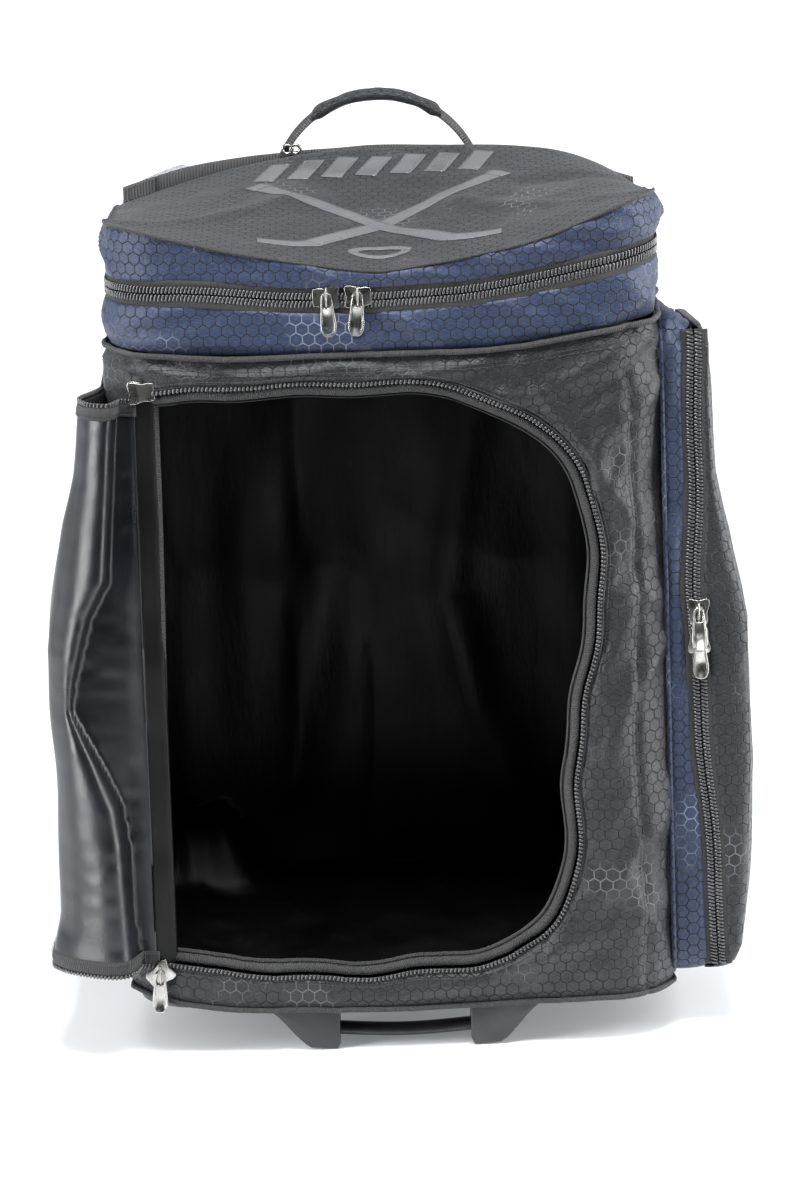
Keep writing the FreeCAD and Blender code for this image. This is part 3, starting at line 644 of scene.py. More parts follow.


# The fourth colour of each honeycomb is the painted highlight of its hexagon lines.
BLACK_CLOTH = honeycomb("black_honeycomb", (0.010, 0.0108, 0.012, 1), (0.027, 0.029, 0.032, 1),
                        (0.0008, 0.0008, 0.001, 1), (0.10, 0.105, 0.11, 1), 0.36)
BLUE_CLOTH = honeycomb("blue_honeycomb", (0.0115, 0.020, 0.046, 1), (0.032, 0.045, 0.088, 1),
                       (0.0025, 0.0035, 0.007, 1), (0.14, 0.165, 0.22, 1), 0.44)
GREY_CLOTH = honeycomb("grey_back_cloth", (0.27, 0.28, 0.30, 1), (0.36, 0.37, 0.39, 1),
                       (0.14, 0.15, 0.16, 1), (0.45, 0.46, 0.48, 1), 0.6)
LINING = nylon("black_lining", (0.0022, 0.0022, 0.0025, 1), (0.001, 0.001, 0.001, 1), 0.42, 0.6,
               gloss=0.22)
COATING = nylon("flap_coating", (0.006, 0.0068, 0.0095, 1), (0.004, 0.0048, 0.007, 1), 0.3, 0.3)
BINDING = tape_cloth("binding_tape", (0.006, 0.006, 0.0065, 1), (0.022, 0.022, 0.023, 1), 1.3)
ZIP_CLOTH = tape_cloth("zip_tape", (0.004, 0.004, 0.0045, 1), (0.014, 0.014, 0.015, 1), 0.8)
WEBBING = tape_cloth("webbing", (0.005, 0.005, 0.0055, 1), (0.035, 0.035, 0.037, 1), 2.2, 0.6)
THREAD = tape_cloth("thread", (0.012, 0.012, 0.013, 1), (0.06, 0.06, 0.062, 1), 0.4)
TEETH = moulded("zip_teeth", (0.032, 0.032, 0.035, 1), 0.2, 900.0, 0.05, 0.02, gloss=0.8)
RIBBON = tape_cloth("lining_ribbon", (0.009, 0.009, 0.0095, 1), (0.028, 0.028, 0.029, 1), 1.3)
BLACK_PLASTIC = moulded("black_plastic", (0.014, 0.014, 0.015, 1), 0.42)
BOARD = moulded("board_plastic", (0.05, 0.05, 0.052, 1), 0.55)
BUTTON = moulded("button_plastic", (0.16, 0.16, 0.17, 1), 0.4)
RUBBER = moulded("wheel_rubber", (0.02, 0.02, 0.021, 1), 0.7, 400.0, 0.3)
PRINT = moulded("lid_print", (0.088, 0.090, 0.096, 1), 0.2, 500.0, 0.06, 0.02)
NICKEL = metal("nickel", (0.42, 0.415, 0.40, 1), 0.24)
ALUMINIUM = metal("aluminium_tube", (0.55, 0.56, 0.58, 1), 0.32, 800.0)
STEEL = metal("steel", (0.5, 0.5, 0.51, 1), 0.3, 700.0)


# ---- shape of the filled fabric body ----------------------------------------------
def seam_lift(s):
    """The seam between the compartments rises towards the right corner."""
    fade = 1 - ease(380, 560, np.abs(s))
    return (15 * ease(60, 200, s) + 5 * ease(-90, -200, s)) * fade


def zip_lift(s):
    """The lid zip dips at its middle and rises more than the seam."""
    fade = 1 - ease(330, 470, np.abs(s))
    return (23 * ease(45, 215, s) + 6 * ease(-60, -150, s) - 3 * hump(s, -12, 60)) * fade


def wall_lift(s, z):
    """Height added to the main walls, growing from the floor to the seam."""
    left_corner = 9 * ease(-110, -200, s) * (1 - ease(SHELL_LOW_Z, 170, z)) * (1 - ease(330, 500, -s))
    middle = 4 * hump(s, 0, 120) * (1 - ease(SHELL_LOW_Z, 70, z))
    return seam_lift(s) * ease(180, SEAM_Z, z) + left_corner - middle


WALL_FOLDS = (
    (2.6, 5, ((-176, 500), (-120, 494), (-40, 497))),
    (-1.8, 5, ((-150, 503), (-96, 488))),
    (2.2, 5, ((-40, 503), (20, 492), (70, 500))),
    (3.4, 8, ((168, 492), (96, 470), (60, 476))),
    (3.4, 7, ((206, 470), (150, 432), (146, 396))),
    (-2.6, 6, ((190, 488), (140, 458))),
    (3.2, 8, ((212, 300), (168, 262), (150, 210))),
    (3.4, 10, ((205, 180), (150, 120), (95, 62))),
    (-2.4, 6, ((190, 350), (156, 330), (150, 290))),
    (2.6, 7, ((-30, 40), (60, 52), (150, 86))),
)


def front_seam_s(z):
    """Outline distance of the upright seam at the right of the front."""
    return 173 + 3 * np.sin(z / 45)


def wall_relief(s, z):
    """How far the main walls stand out from the plain outline."""
    tall = np.clip((z - SHELL_LOW_Z) / (SEAM_Z - SHELL_LOW_Z), 0, 1)
    fullness = np.sin(math.pi * tall) ** 0.7
    on_side = ease(FRONT_HALF, SIDE_S + 60, np.abs(s)) * (1 - ease(BACK_S - 60, REAR_S, np.abs(s)))
    waves = (3.0 * ripples(s, z, 95, 3) + 2.0 * ripples(s, z, 41, 4)) * (0.35 + 0.65 * fullness)
    creases = 0.8 * ripples(s + z * 0.4, z, 17, 5) + 3.0 * crumple(s + 0.6 * z, z * 0.55, 52, 6)
    creases = creases + 1.3 * crumple(s - 0.5 * z, z * 0.8, 27, 7) + fold_lines(s, z, WALL_FOLDS)
    seams = 2.2 * hump(z, SEAM_Z, 7) + 1.5 * hump(z, SHELL_LOW_Z, 7) + 2.4 * hump(s, front_seam_s(z), 2.6)
    return fullness * (1.0 + 3.0 * on_side) + waves + creases - seams


def wall_point(s, z):
    """Point on the main wall with its outward direction."""
    s, z = np.broadcast_arrays(np.asarray(s, float), np.asarray(z, float))
    return outline_points(s, z + wall_lift(s, z), wall_relief(s, z))


def sag_opening(x, z):
    """The slack cloth pulls the right and lower edges of the opening out of line."""
    dx = -15 * (1 - ease(190, 325, z)) * ease(-60, 60, x) + 6 * hump(z, 352, 55) * ease(60, 120, x)
    dz = 8 * ease(-100, -172, x) * (1 - ease(100, 250, z)) - 6 * hump(x, -30, 60) * (1 - ease(80, 200, z))
    dz = dz - 9 * hump(x, 84, 42) * ease(380, 440, z) - 3 * ease(-130, -172, x) * ease(430, 480, z)
    dx = dx + 1.2 * np.sin(z / 11.0) * ease(60, 110, x)
    return x + dx, z + dz + 1.0 * np.sin(x / 13.0) * ease(-150, -100, x)


SIDE_COUNTS = (60, 80, 110, 80)      # points along the left, top, right and bottom of a loop


def opening_corners(grow):
    """Foot and head of the opening's straight side, and its two arcs as (centre, radius)."""
    right, low, high = OPENING_RIGHT + grow, OPENING_BOTTOM - grow, OPENING_TOP + grow
    top_r, low_r = OPENING_TOP_R + grow, OPENING_BOTTOM_R + grow
    top_arc = ((right - top_r, high - top_r), top_r)
    low_arc = ((right - low_r, low + low_r), low_r)
    return (OPENING_LEFT, low), (OPENING_LEFT, high), top_arc, low_arc


def opening_sides(grow):
    """The opening's left, top, right and bottom as rows of (x, z); each ends where the next starts."""
    foot, head, top_arc, low_arc = opening_corners(grow)
    sides = (
        np.array([foot, head]),
        np.vstack([[head], arc(*top_arc, 90, 45)]),
        np.vstack([arc(*top_arc, 45, 0), arc(*low_arc, 0, -45)]),
        np.vstack([arc(*low_arc, -45, -90), [foot]]),
    )
    return [np.stack(sag_opening(*evenly(side, count).T), axis=1) for side, count in zip(sides, SIDE_COUNTS)]


def opening_loop(grow, skip_left=False):
    """The sagged outline as one row of (x, z)."""
    rows = opening_sides(grow)
    if skip_left:
        return np.vstack([row[:-1] for row in rows[1:]] + [rows[-1][-1:]])
    return np.vstack([row[:-1] for row in rows])


def rectangle_loop(left, right, low, high):
    """A rectangle whose points match those of opening_loop."""
    corners = [(left, low), (left, high), (right, high), (right, low), (left, low)]
    return np.vstack([np.linspace(a, b, n)[:-1] for a, b, n in zip(corners, corners[1:], SIDE_COUNTS)])


def front_s(x):
    """Outline distance of a point on the front wall seen straight on at x."""
    over = np.clip(np.abs(x) - FRONT_HALF, 0, CORNER_R - 1)
    return np.sign(x) * (np.minimum(np.abs(x), FRONT_HALF) + CORNER_R * np.arcsin(over / CORNER_R))


def front_point(x, z, back=0.0):
    """Point on the front wall seen straight on at (x, z); back sinks it into the bag."""
    points, normal = wall_point(front_s(x), z)
    points[..., 1] += back
    points[..., 2] = z
    return points, normal


def front_panel():
    """Front cloth: a sheet round the opening that wraps both corners."""
    inner = opening_loop(3.4)
    inner_s = front_s(inner[:, 0])
    inner = np.stack([inner_s, inner[:, 1] - wall_lift(inner_s, inner[:, 1])], axis=1)
    outer = rectangle_loop(-SIDE_S, SIDE_S, SHELL_LOW_Z, SEAM_Z)
    shares = np.linspace(0, 1, 34) ** 1.15
    place = inner[None] + (outer - inner)[None] * shares[:, None, None]
    points, _ = wall_point(place[..., 0], place[..., 1])
    tuck = 2.2 * (1 - ease(0, 0.10, shares))
    points[..., 1] += tuck[:, None]
    piece = grid_piece("front_cloth", points, place, BLACK_CLOTH, FABRIC / 2, loop=True)
    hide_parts("front_panel")
    return piece


HOUSING_X = 135.5            # the wheel housings fill the lower rear corners past these
HOUSING_Y = 104.5
HOUSING_TOP_Z = 93.0


def clear_of_housings(points):
    """Which faces of a grid stay clear of the wheel housings."""
    x, y, z = face_middles(points)
    return (np.abs(x) <= HOUSING_X) | (y <= HOUSING_Y) | (z >= HOUSING_TOP_Z)


def side_panels():
    """Left and right walls, cut out round the wheel housings."""
    pieces = []
    for name, start, stop in (("left", -BACK_S, -SIDE_S), ("right", SIDE_S, BACK_S)):
        s, z = np.meshgrid(np.linspace(start, stop, 62), np.linspace(SHELL_LOW_Z, SEAM_Z, 106))
        points, _ = wall_point(s, z)
        piece = grid_piece(name + "_side_cloth", points, np.stack([s, z], axis=2), BLACK_CLOTH, FABRIC / 2,
                           keep=clear_of_housings(points))
        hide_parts(name + "_side_panel")
        pieces.append(piece)
    return pieces


def back_pad():
    """Padded back: quilted in upright channels, with the wheel housings cut out."""
    s = np.concatenate([np.linspace(BACK_S, HALF_OUTLINE, 62), np.linspace(-HALF_OUTLINE, -BACK_S, 62)[1:]])
    across = np.where(s > 0, s - HALF_OUTLINE, s + HALF_OUTLINE)
    z = np.linspace(SHELL_LOW_Z, SEAM_Z, 110)
    grid_s, grid_z = np.meshgrid(s, z)
    grid_a, _ = np.meshgrid(across, z)
    channel = np.abs(np.sin(grid_a / 62 * math.pi)) ** 0.5
    cross = np.minimum(1, np.abs(grid_z - 250) / 14) ** 0.5
    pad = 2.2 * channel * cross - 1.2 + 0.7 * ripples(grid_a, grid_z, 33, 21)
    points, _ = outline_points(grid_s, grid_z, pad)
    piece = grid_piece("back_padding", points, np.stack([grid_a, grid_z], axis=2), BLACK_CLOTH,
                       8.0, keep=clear_of_housings(points))
    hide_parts("back_panel")
    return piece


def plan_grid(y, columns, height, inset=0.0):
    """Grid that fills the plan outline at the depths y; height(x, y) lifts it."""
    near = np.clip(SIDE_START_Y - y, 0, CORNER_R) / CORNER_R
    far = np.clip(y - BACK_START_Y, 0, CORNER_R) / CORNER_R
    bend = np.maximum(near, far)
    half = FRONT_HALF + CORNER_R * np.sqrt(np.clip(1 - bend ** 2, 0, 1)) - inset
    x = half[:, None] * np.linspace(-1, 1, columns)[None, :]
    grid_y = np.repeat(y[:, None], columns, axis=1)
    return np.stack([x, grid_y, height(x, grid_y)], axis=2)


def bottom_height(x, y):
    """Underside of the bag, which hangs between its stiff edges."""
    edge = 9 * ease(-110, -HALF_WIDTH, x) - 3 * hump(x, 0, 120)
    return FLOOR_Z + 1.5 + edge * (1 - ease(-150, -20, y)) + 0.5 * ripples(x, y, 40, 8)


def bottom_cloth():
    """Underside of the bag."""
    points = plan_grid(np.linspace(FRONT_Y + 1, BACK_Y - 1, 80), 86, bottom_height, 1.0)
    piece = grid_piece("bottom_cloth", points, points[..., :2], BLACK_CLOTH, FABRIC / 2, flip=True,
                       keep=clear_of_housings(points))
    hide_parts("bottom_panel")
    return piece


# ---- top compartment --------------------------------------------------------------
LID_FOLDS = (
    (3.0, 12, ((186, -120), (120, -60), (60, -20))),
    (3.0, 12, ((-184, -120), (-120, -50), (-70, 10))),
    (-3.0, 14, ((190, 60), (110, 20))),
)


def lid_height(x, y):
    """Top of the lid: dipped along its front edge, arched along its rear edge, slack between."""
    share = np.clip((y - FRONT_Y) / (HINGE_Y - FRONT_Y), 0, 1)
    front = 568 + 39 * np.clip(np.abs(x) / 190, 0, 1.1) ** 1.45 + 9 * ease(90, 190, x)
    rear = 605 - 38 * np.clip(np.abs(x) / HALF_WIDTH, 0, 1.1) ** np.where(x < 0, 1.8, 4.5)
    slack = np.sin(math.pi * share) * (-5 * hump(x, 0, 120))
    relief = 1.8 * ripples(x, y, 62, 31) + 0.9 * ripples(x, y, 27, 32) + fold_lines(x, y, LID_FOLDS)
    edge = 1 - np.sin(math.pi * share) ** 0.3
    return front * (1 - share) + rear * share + slack + relief * (1 - 0.7 * edge)


BAND_FOLDS = (
    (2.6, 6, ((150, 520), (200, 548), (236, 560))),
    (-2.2, 6, ((120, 590), (206, 568), (240, 572))),
    (-2.0, 6, ((-120, 540), (-200, 520))),
)


def band_relief(s, z):
    """How far the blue bands stand out."""
    relief = 2.2 * ripples(s, z * 1.3, 58, 41) + 1.5 * ripples(s + z, z, 24, 42)
    relief = relief + 3.6 * crumple(s + 1.5 * z, z * 1.2, 46, 43) + fold_lines(s, z, BAND_FOLDS)
    return relief + 3.2 * hump(z, 588, 14) * ease(150, 190, np.abs(s)) * (1 - ease(260, 380, np.abs(s)))


def band_piece(name, low, high, rows, node, sink_low, sink_high):
    """Blue band between two heights, each a function of the outline distance."""
    s, share = np.meshgrid(np.linspace(-LID_END_S, LID_END_S, 250), np.linspace(0, 1, rows))
    z = low(s) * (1 - share) + high(s) * share
    pinch = sink_low * (1 - ease(0, 0.25, share)) + sink_high * ease(0.8, 1, share)
    relief = band_relief(s, z) * (0.3 + 0.7 * np.sin(math.pi * share)) - pinch
    points, _ = outline_points(s, z, relief)
    piece = grid_piece(name, points, np.stack([s, z], axis=2), BLUE_CLOTH, FABRIC / 2)
    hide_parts(node)
    return piece


def zip_line(s):
    """Height of the lid's zip."""
    return ZIP_Z + zip_lift(s)


def lid_edge(s):
    """Height of the lid's edge."""
    x, y, _, _ = outline(s)
    return lid_height(x, y)


def seam_top(s):
    """Lower edge of the lower blue band."""
    return SEAM_Z + 2 + seam_lift(s)


def lower_band_top(s):
    """Upper edge of the lower blue band, under the zip's tape."""
    return zip_line(s) - TAPE + 0.8


def lid_band_low(s):
    """Lower edge of the lid's blue band, under the zip's tape."""
    return np.minimum(zip_line(s) + TAPE - 0.8, lid_edge(s) - 4)


def lid_cloth():
    """Black top of the lid."""
    turn = np.linspace(0, 1, 12)[:-1] * math.pi / 2
    y = np.concatenate([SIDE_START_Y - CORNER_R * np.cos(turn), np.linspace(SIDE_START_Y, HINGE_Y - 1, 60)])
    points = plan_grid(y, 97, lid_height)
    piece = grid_piece("lid_cloth", points, points[..., :2], BLACK_CLOTH, FABRIC / 2)
    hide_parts("lid_panel")
    return piece


def deck_height(x, y):
    """Arched rear deck."""
    arch = 590 - 32 * np.clip(np.abs(x) / HALF_WIDTH, 0, 1) ** 2 + 5 * ease(-60, -150, x)
    padding = 9 * ease(127, 150, np.abs(x)) * ease(149, 166, y)
    return arch + padding + 0.8 * ripples(x, y, 30, 51)


def rear_deck():
    """Pale deck behind the lid, with its back wall and the slot for the trolley."""
    points = plan_grid(np.linspace(HINGE_Y + 1.5, BACK_Y - 0.2, 24), 104, deck_height)
    x, y, _ = face_middles(points)
    solid = (np.abs(x) >= SLOT_HALF) | (y <= SLOT_FRONT_Y) | (y >= SLOT_BACK_Y)
    top = grid_piece("rear_deck_cloth", points, points[..., :2], GREY_CLOTH, FABRIC / 2, keep=solid)
    s = np.concatenate([np.linspace(LID_END_S + 2, HALF_OUTLINE, 60),
                        np.linspace(-HALF_OUTLINE, -LID_END_S - 2, 60)[1:]])
    s, share = np.meshgrid(s, np.linspace(0, 1, 18))
    x, y, _, _ = outline(s)
    z = SEAM_Z * (1 - share) + deck_height(x, y) * share
    round_s = np.where(s < 0, s + 2 * HALF_OUTLINE, s)
    wall, _ = outline_points(s, z, 1.2 * np.sin(math.pi * share) * ripples(round_s, z, 40, 52))
    back = grid_piece("rear_deck_wall", wall, np.stack([round_s, z], axis=2), GREY_CLOTH, FABRIC / 2)
    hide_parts("rear_deck")
    return [top, back]


# ---- seams, bindings and zips -----------------------------------------------------
def body_seams():
    """Piping round the seam between the compartments and round the floor, with top stitches."""
    s = np.linspace(-LID_END_S, LID_END_S, 300)
    points, normal = wall_point(s, SEAM_Z)
    upper = tube_piece("seam_piping_upper", points + normal * 2.4, normal, 2.1, BINDING)
    s_low = np.linspace(-BACK_S + 60, BACK_S - 60, 260)
    points_low, normal_low = wall_point(s_low, SHELL_LOW_Z)
    lower = tube_piece("seam_piping_lower", points_low + normal_low * 1.4, normal_low, 2.0, BINDING)
    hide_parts("seam_piping")
    rows = []
    for k, drop in enumerate((9, 12)):
        line, face = wall_point(s, SEAM_Z - drop)
        rows.append(stitches(f"seam_stitches_{k + 1}", line + face * 0.3, face, THREAD))
    z = np.linspace(60, SEAM_Z - 14, 120)
    for k, shift in enumerate((-1.8, 1.8)):
        line, face = wall_point(front_seam_s(z) - 1 + shift, z)
        rows.append(stitches(f"front_seam_stitches_{k + 1}", line + face * 0.2, face, THREAD))
    return [upper, lower] + rows


def zip_half(name, path, across, normal, big):
    """One side of a zip: tape and its row of coil ribs; across points away from the teeth."""
    pitch, tooth, radius = (2.65, 5.4, 1.0) if big else (2.9, 3.4, 0.95)
    width = TAPE if big else 4.6
    profile = [(0.6, -0.6), (tooth * 0.9, -0.4), (tooth + 0.8, -0.2), (width - 0.6, -0.1), (width, -0.6)]
    tape = thicken(strip_piece(name + "_tape", path, across, normal, profile, ZIP_CLOTH), 0.8)
    run = path_run(path)
    at = at_distances(np.hstack([path, across, normal]), run, np.arange(pitch / 2, run[-1], pitch))
    point, side, up = at[:, :3], unit(at[:, 3:6]), unit(at[:, 6:])
    lean = unit(side + 0.30 * np.cross(side, up))
    teeth = ribs_piece(name + "_teeth", point + side * tooth * 0.52 + up * radius * 0.75, lean, up,
                       tooth, radius, TEETH)
    return [tape, teeth]


def lid_zip():
    """Both halves of the lid zip; the upper one moves with the lid."""
    s = np.linspace(-LID_END_S, LID_END_S, 420)
    path, normal = outline_points(s, zip_line(s), -0.6 + 0.8 * ripples(s, 0, 45, 61))
    up = unit(np.cross(unit(np.gradient(path, axis=0)), normal))
    up = up * np.sign(up[:, 2:3])
    lower = zip_half("lid_zip_lower", path, -up, normal, True)
    upper = zip_half("lid_zip_upper", path, up, normal, True)
    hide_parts("top_zip_lower_tape")
    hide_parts("top_zip_upper_tape")
    return lower, upper


def main_zip_body():
    """Body half of the main zip, round the top, right and bottom of the opening."""
    row = opening_loop(0.0, skip_left=True)
    points, normal = front_point(row[:, 0], row[:, 1], 0.6)
    across = unit(np.cross(unit(np.gradient(points, axis=0)), normal))
    travel = unit(np.gradient(row, axis=0))
    outward = np.stack([-travel[:, 1], travel[:, 0]], axis=1)
    turn = np.sign(np.sum(across[:, [0, 2]] * outward, axis=1))[:, None]
    pieces = zip_half("main_zip_body", points, across * turn, normal, False)
    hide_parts("main_zip_body_tape")
    edge = opening_loop(7.0, skip_left=True)
    line, face = front_point(edge[:, 0], edge[:, 1])
    pieces.append(stitches("opening_stitches", line + face * 0.3, face, THREAD, 2.8, 2.0))
    return pieces


def opening_ribbon():
    """Bound edge of the lining inside the opening."""
    row = opening_loop(-1.0, skip_left=True)
    inner = opening_loop(-9.5, skip_left=True)
    profile = ((0.0, 4.0), (0.35, 4.4), (0.7, 6.0), (1.0, 9.5))
    rows = []
    for share, back in profile:
        place = row * (1 - share) + inner * share
        rows.append(front_point(place[:, 0], place[:, 1], back)[0])
    run = path_run(rows[0])
    flat = np.stack([np.stack([run, np.full(len(run), 11 * share)], axis=1) for share, _ in profile])
    return thicken(grid_piece("opening_binding", np.stack(rows), flat, RIBBON, flip=True), 0.9)


LINING_HALF = 186.0
LINING_LOW_Z = 43.0
LINING_TOP_Z = 503.0
LINING_MIDDLE = np.array([0.0, 260.0])
LINING_BACK_FOLDS = (
    (6, 20, ((-60, 470), (-45, 300), (-80, 120))),
    (5, 16, ((70, 440), (40, 260), (95, 90))),
)


def lining_sides():
    """Rows of the lining from its mouth to its back, as points and as places on the flat cloth."""
    depths = [(6.0, 0.0), (7.5, 0.04), (9.5, 0.12), (12.0, 0.35), (17.0, 0.65), (22.0, 0.9), (28.0, 1.0)]
    depths += [(depth, 1.0) for depth in np.linspace(34, 300, 44)]
    mouth = opening_loop(-8.5)
    mouth_y = front_point(mouth[:, 0], mouth[:, 1])[0][:, 1]
    wall = rectangle_loop(-LINING_HALF, LINING_HALF, LINING_LOW_Z, LINING_TOP_Z)
    from_side = LINING_HALF - np.abs(wall[:, 0])
    from_end = np.minimum(wall[:, 1] - LINING_LOW_Z, LINING_TOP_Z - wall[:, 1])
    in_corner = hump(np.minimum(from_side, 60) + np.minimum(from_end, 60), 0, 40)
    rounded = LINING_MIDDLE + (wall - LINING_MIDDLE) * (1 - 0.04 * in_corner)[:, None]
    run = path_run(wall)
    inward = unit(LINING_MIDDLE - rounded)
    rows, flats = [], []
    for depth, share in depths:
        place = mouth * (1 - share) + rounded * share
        y = mouth_y * (1 - share) + (FRONT_Y + FABRIC + 1) * share + depth
        near_floor = 1 - ease(LINING_LOW_Z, LINING_LOW_Z + 60, place[:, 1])
        slack = 1.6 + 5.0 * crumple(run, depth * 1.4, 62, 71) * ease(0, 60, depth)
        slack = slack + 2.2 * ripples(run * 1.4, depth, 30, 72)
        slack = slack + near_floor * 5.0 * crumple(run, depth, 36, 73) * ease(10, 50, depth)
        place = place + inward * np.maximum(share * slack, 0.3)[:, None] * share
        rows.append(np.column_stack([place[:, 0], y, place[:, 1]]))
        flats.append(np.column_stack([run, np.full(len(run), depth)]))
    return rows, flats


def lining_back(last):
    """Rows that close the lining's back, from the last row of its sides to its middle."""
    rows, flats = [], []
    for share in np.linspace(0.03, 1, 40):
        place = last[:, [0, 2]] * (1 - share) + LINING_MIDDLE * share
        x, z = place.T
        bulge = 3.0 * crumple(x * 2.0, z * 0.5, 95, 74) + 2.5 * ripples(x * 2.2, z * 0.6, 60, 75)
        bulge = bulge + fold_lines(x, z, LINING_BACK_FOLDS)
        rows.append(np.column_stack([x, last[:, 1] - bulge * ease(0, 0.15, share), z]))
        flats.append(place)
    return rows, flats


def lining_shell():
    """The lining: a slack sack that starts behind the opening and fills the compartment."""
    rows, flats = lining_sides()
    back_rows, back_flats = lining_back(rows[-1])
    points = np.stack(rows + back_rows)
    x, y, z = np.moveaxis(points, -1, 0)
    over_housings = 55 * ease(56, 106, y) * ease(92, 136, np.abs(x))
    floor = LINING_LOW_Z + over_housings + 7 * crumple(x + 0.5 * y, y, 34, 76) * ease(30, 70, y)
    points[..., 2] = np.maximum(z, floor)
    flat = np.stack(flats + back_flats)
    piece = grid_piece("main_lining_cloth", points, flat, LINING, loop=True, flip=True)
    weld(piece)
    thicken(piece, 0.6)
    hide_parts("main_lining")
    return piece


def floor_height(x, y):
    """Slack cloth between the two compartments."""
    return SEAM_Z + 1 + 1.6 * ripples(x, y, 45, 81) + 1.2 * crumple(x, y, 60, 82)


def compartment_floor():
    """Cloth floor of the top compartment."""
    points = plan_grid(np.linspace(FRONT_Y + 5, HINGE_Y + 12, 60), 70, floor_height, 5.0)
    piece = grid_piece("top_floor_cloth", points, points[..., :2], LINING, 0.8)
    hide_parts("divider_panel")
    return piece


def lid_seams():
    """Piping between the lid's black top and its blue band."""
    s = np.linspace(-LID_END_S, LID_END_S, 300)
    path, normal = outline_points(s, lid_edge(s) + 0.1, 0.1)
    return tube_piece("lid_piping", path, normal, 0.9, BINDING)


# ---- opened flap ------------------------------------------------------------------
def flap_reach(z):
    """Distance the opened flap stands out from its hinge before it turns back."""
    return np.interp(z, (60, 160, 300, 361, 426, 490), (67, 66, 67, 57, 45, 38))


FLAP_CREASE = ((60, -187), (87, -189), (162, -192), (190, -196), (224, -211), (258, -228), (279, -225),
               (326, -212), (353, -197), (454, -190), (490, -186))


def flap_point(u, z):
    """Point on the opened flap's inner face; u is the distance from the hinge on the flat cloth."""
    u, z = np.broadcast_arrays(np.asarray(u, float), np.asarray(z, float))
    reach = flap_reach(z)
    fold_x = OPENING_LEFT - reach
    front_x = OPENING_LEFT - np.clip(u, -20, FLAP_FOLD - FLAP_BEND) * reach / FLAP_FOLD
    start_x = OPENING_LEFT - (FLAP_FOLD - FLAP_BEND) * reach / FLAP_FOLD
    t = np.clip((u - FLAP_FOLD + FLAP_BEND) / (2 * FLAP_BEND), 0, 1)
    bend_x = start_x * (1 - t) ** 2 + fold_x * (2 * t * (1 - t) + t ** 2)
    bend_y = TAPE_Y + FLAP_BEND * t ** 2
    x = np.where(t > 0, bend_x, front_x)
    y = bend_y + np.clip(u - FLAP_FOLD - FLAP_BEND, 0, None)
    near = 1 - ease(FLAP_FOLD - 6, FLAP_FOLD + 18, u)
    off_hinge = ease(0, 16, u)
    crease_x = np.interp(z, *zip(*FLAP_CREASE))
    width = np.maximum(crease_x - fold_x, 8.0)
    share = np.clip((crease_x - x) / width, 0, 1)
    roll = 0.48 * width * np.sin(math.pi * share ** 0.55) ** 0.8
    recess = 3.0 * off_hinge * (1 - ease(0, 0.25, share))
    pucker = (0.5 + 0.5 * share) * (0.7 * ripples(x * 0.4, z, 8, 94) + 1.2 * ripples(x, z, 34, 91))
    face = near * (recess - roll * off_hinge - pucker * off_hinge)
    tuck = ease(385, 465, z) * ease(FLAP_FOLD + 4, 112, u)
    slack = 3.0 * ripples(u + 0.6 * z, z - 0.5 * u, 74, 92) + 1.4 * crumple(u - 0.7 * z, 0.6 * z + u, 90, 93)
    from_rim = np.minimum(ease(60, 96, z) * ease(488, 455, z), ease(314, 284, u))
    side = (1 - near) * (slack * from_rim + 2.5) * (1 - tuck) - tuck * (-199.0 - fold_x)
    lower_curl = 7 * ease(110, 72, z) * ease(FLAP_FOLD - 22, FLAP_FOLD + 10, u) * (1 - ease(90, 160, u))
    return np.stack([x - side - lower_curl, y + face, z], axis=-1)


def flap_rim(inset, count=260):
    """The flap's edge as distances from the hinge and heights, from the hinge's top to its bottom."""
    foot, head, top_arc, low_arc = opening_corners(-inset)
    points = np.vstack([[head], arc(*top_arc, 90, 0, 30), arc(*low_arc, 0, -90, 30), [foot]])
    x, z = evenly(points, count).T
    return x - OPENING_LEFT, z


def flap_normal(u, z):
    """Outward direction of the flap's inner face."""
    along = flap_point(u + 1, z) - flap_point(u - 1, z)
    up = flap_point(u, z + 1) - flap_point(u, z - 1)
    return unit(np.cross(up, along))


def bend_flap(piece):
    """Bake a flap piece's placement into its mesh."""
    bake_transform(piece)


def flap_sheet():
    """The flap's cloth: coated inside, honeycomb outside."""
    z = np.linspace(OPENING_BOTTOM + FLAP_EDGE, OPENING_TOP - FLAP_EDGE, 150)
    rim_u, rim_z = flap_rim(FLAP_EDGE, 900)
    ends = np.array([rim_u[np.abs(rim_z - height) < 2.0].max() for height in z])
    ends[0], ends[-1] = ends[1] - 6, ends[-2] - 6
    share = np.concatenate([np.linspace(0, 0.36, 60), np.linspace(0.37, 1, 52)])
    u = 2 + (ends[:, None] - 2) * share[None, :]
    grid_z = np.repeat(z[:, None], len(share), axis=1)
    sheet = grid_piece("front_flap", flap_point(u, grid_z), np.stack([u, grid_z], axis=2),
                       [COATING, BLACK_CLOTH], 1.6, flip=True, both_faces=True)
    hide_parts("flap_inner_panel", "flap_outer_panel")
    return sheet


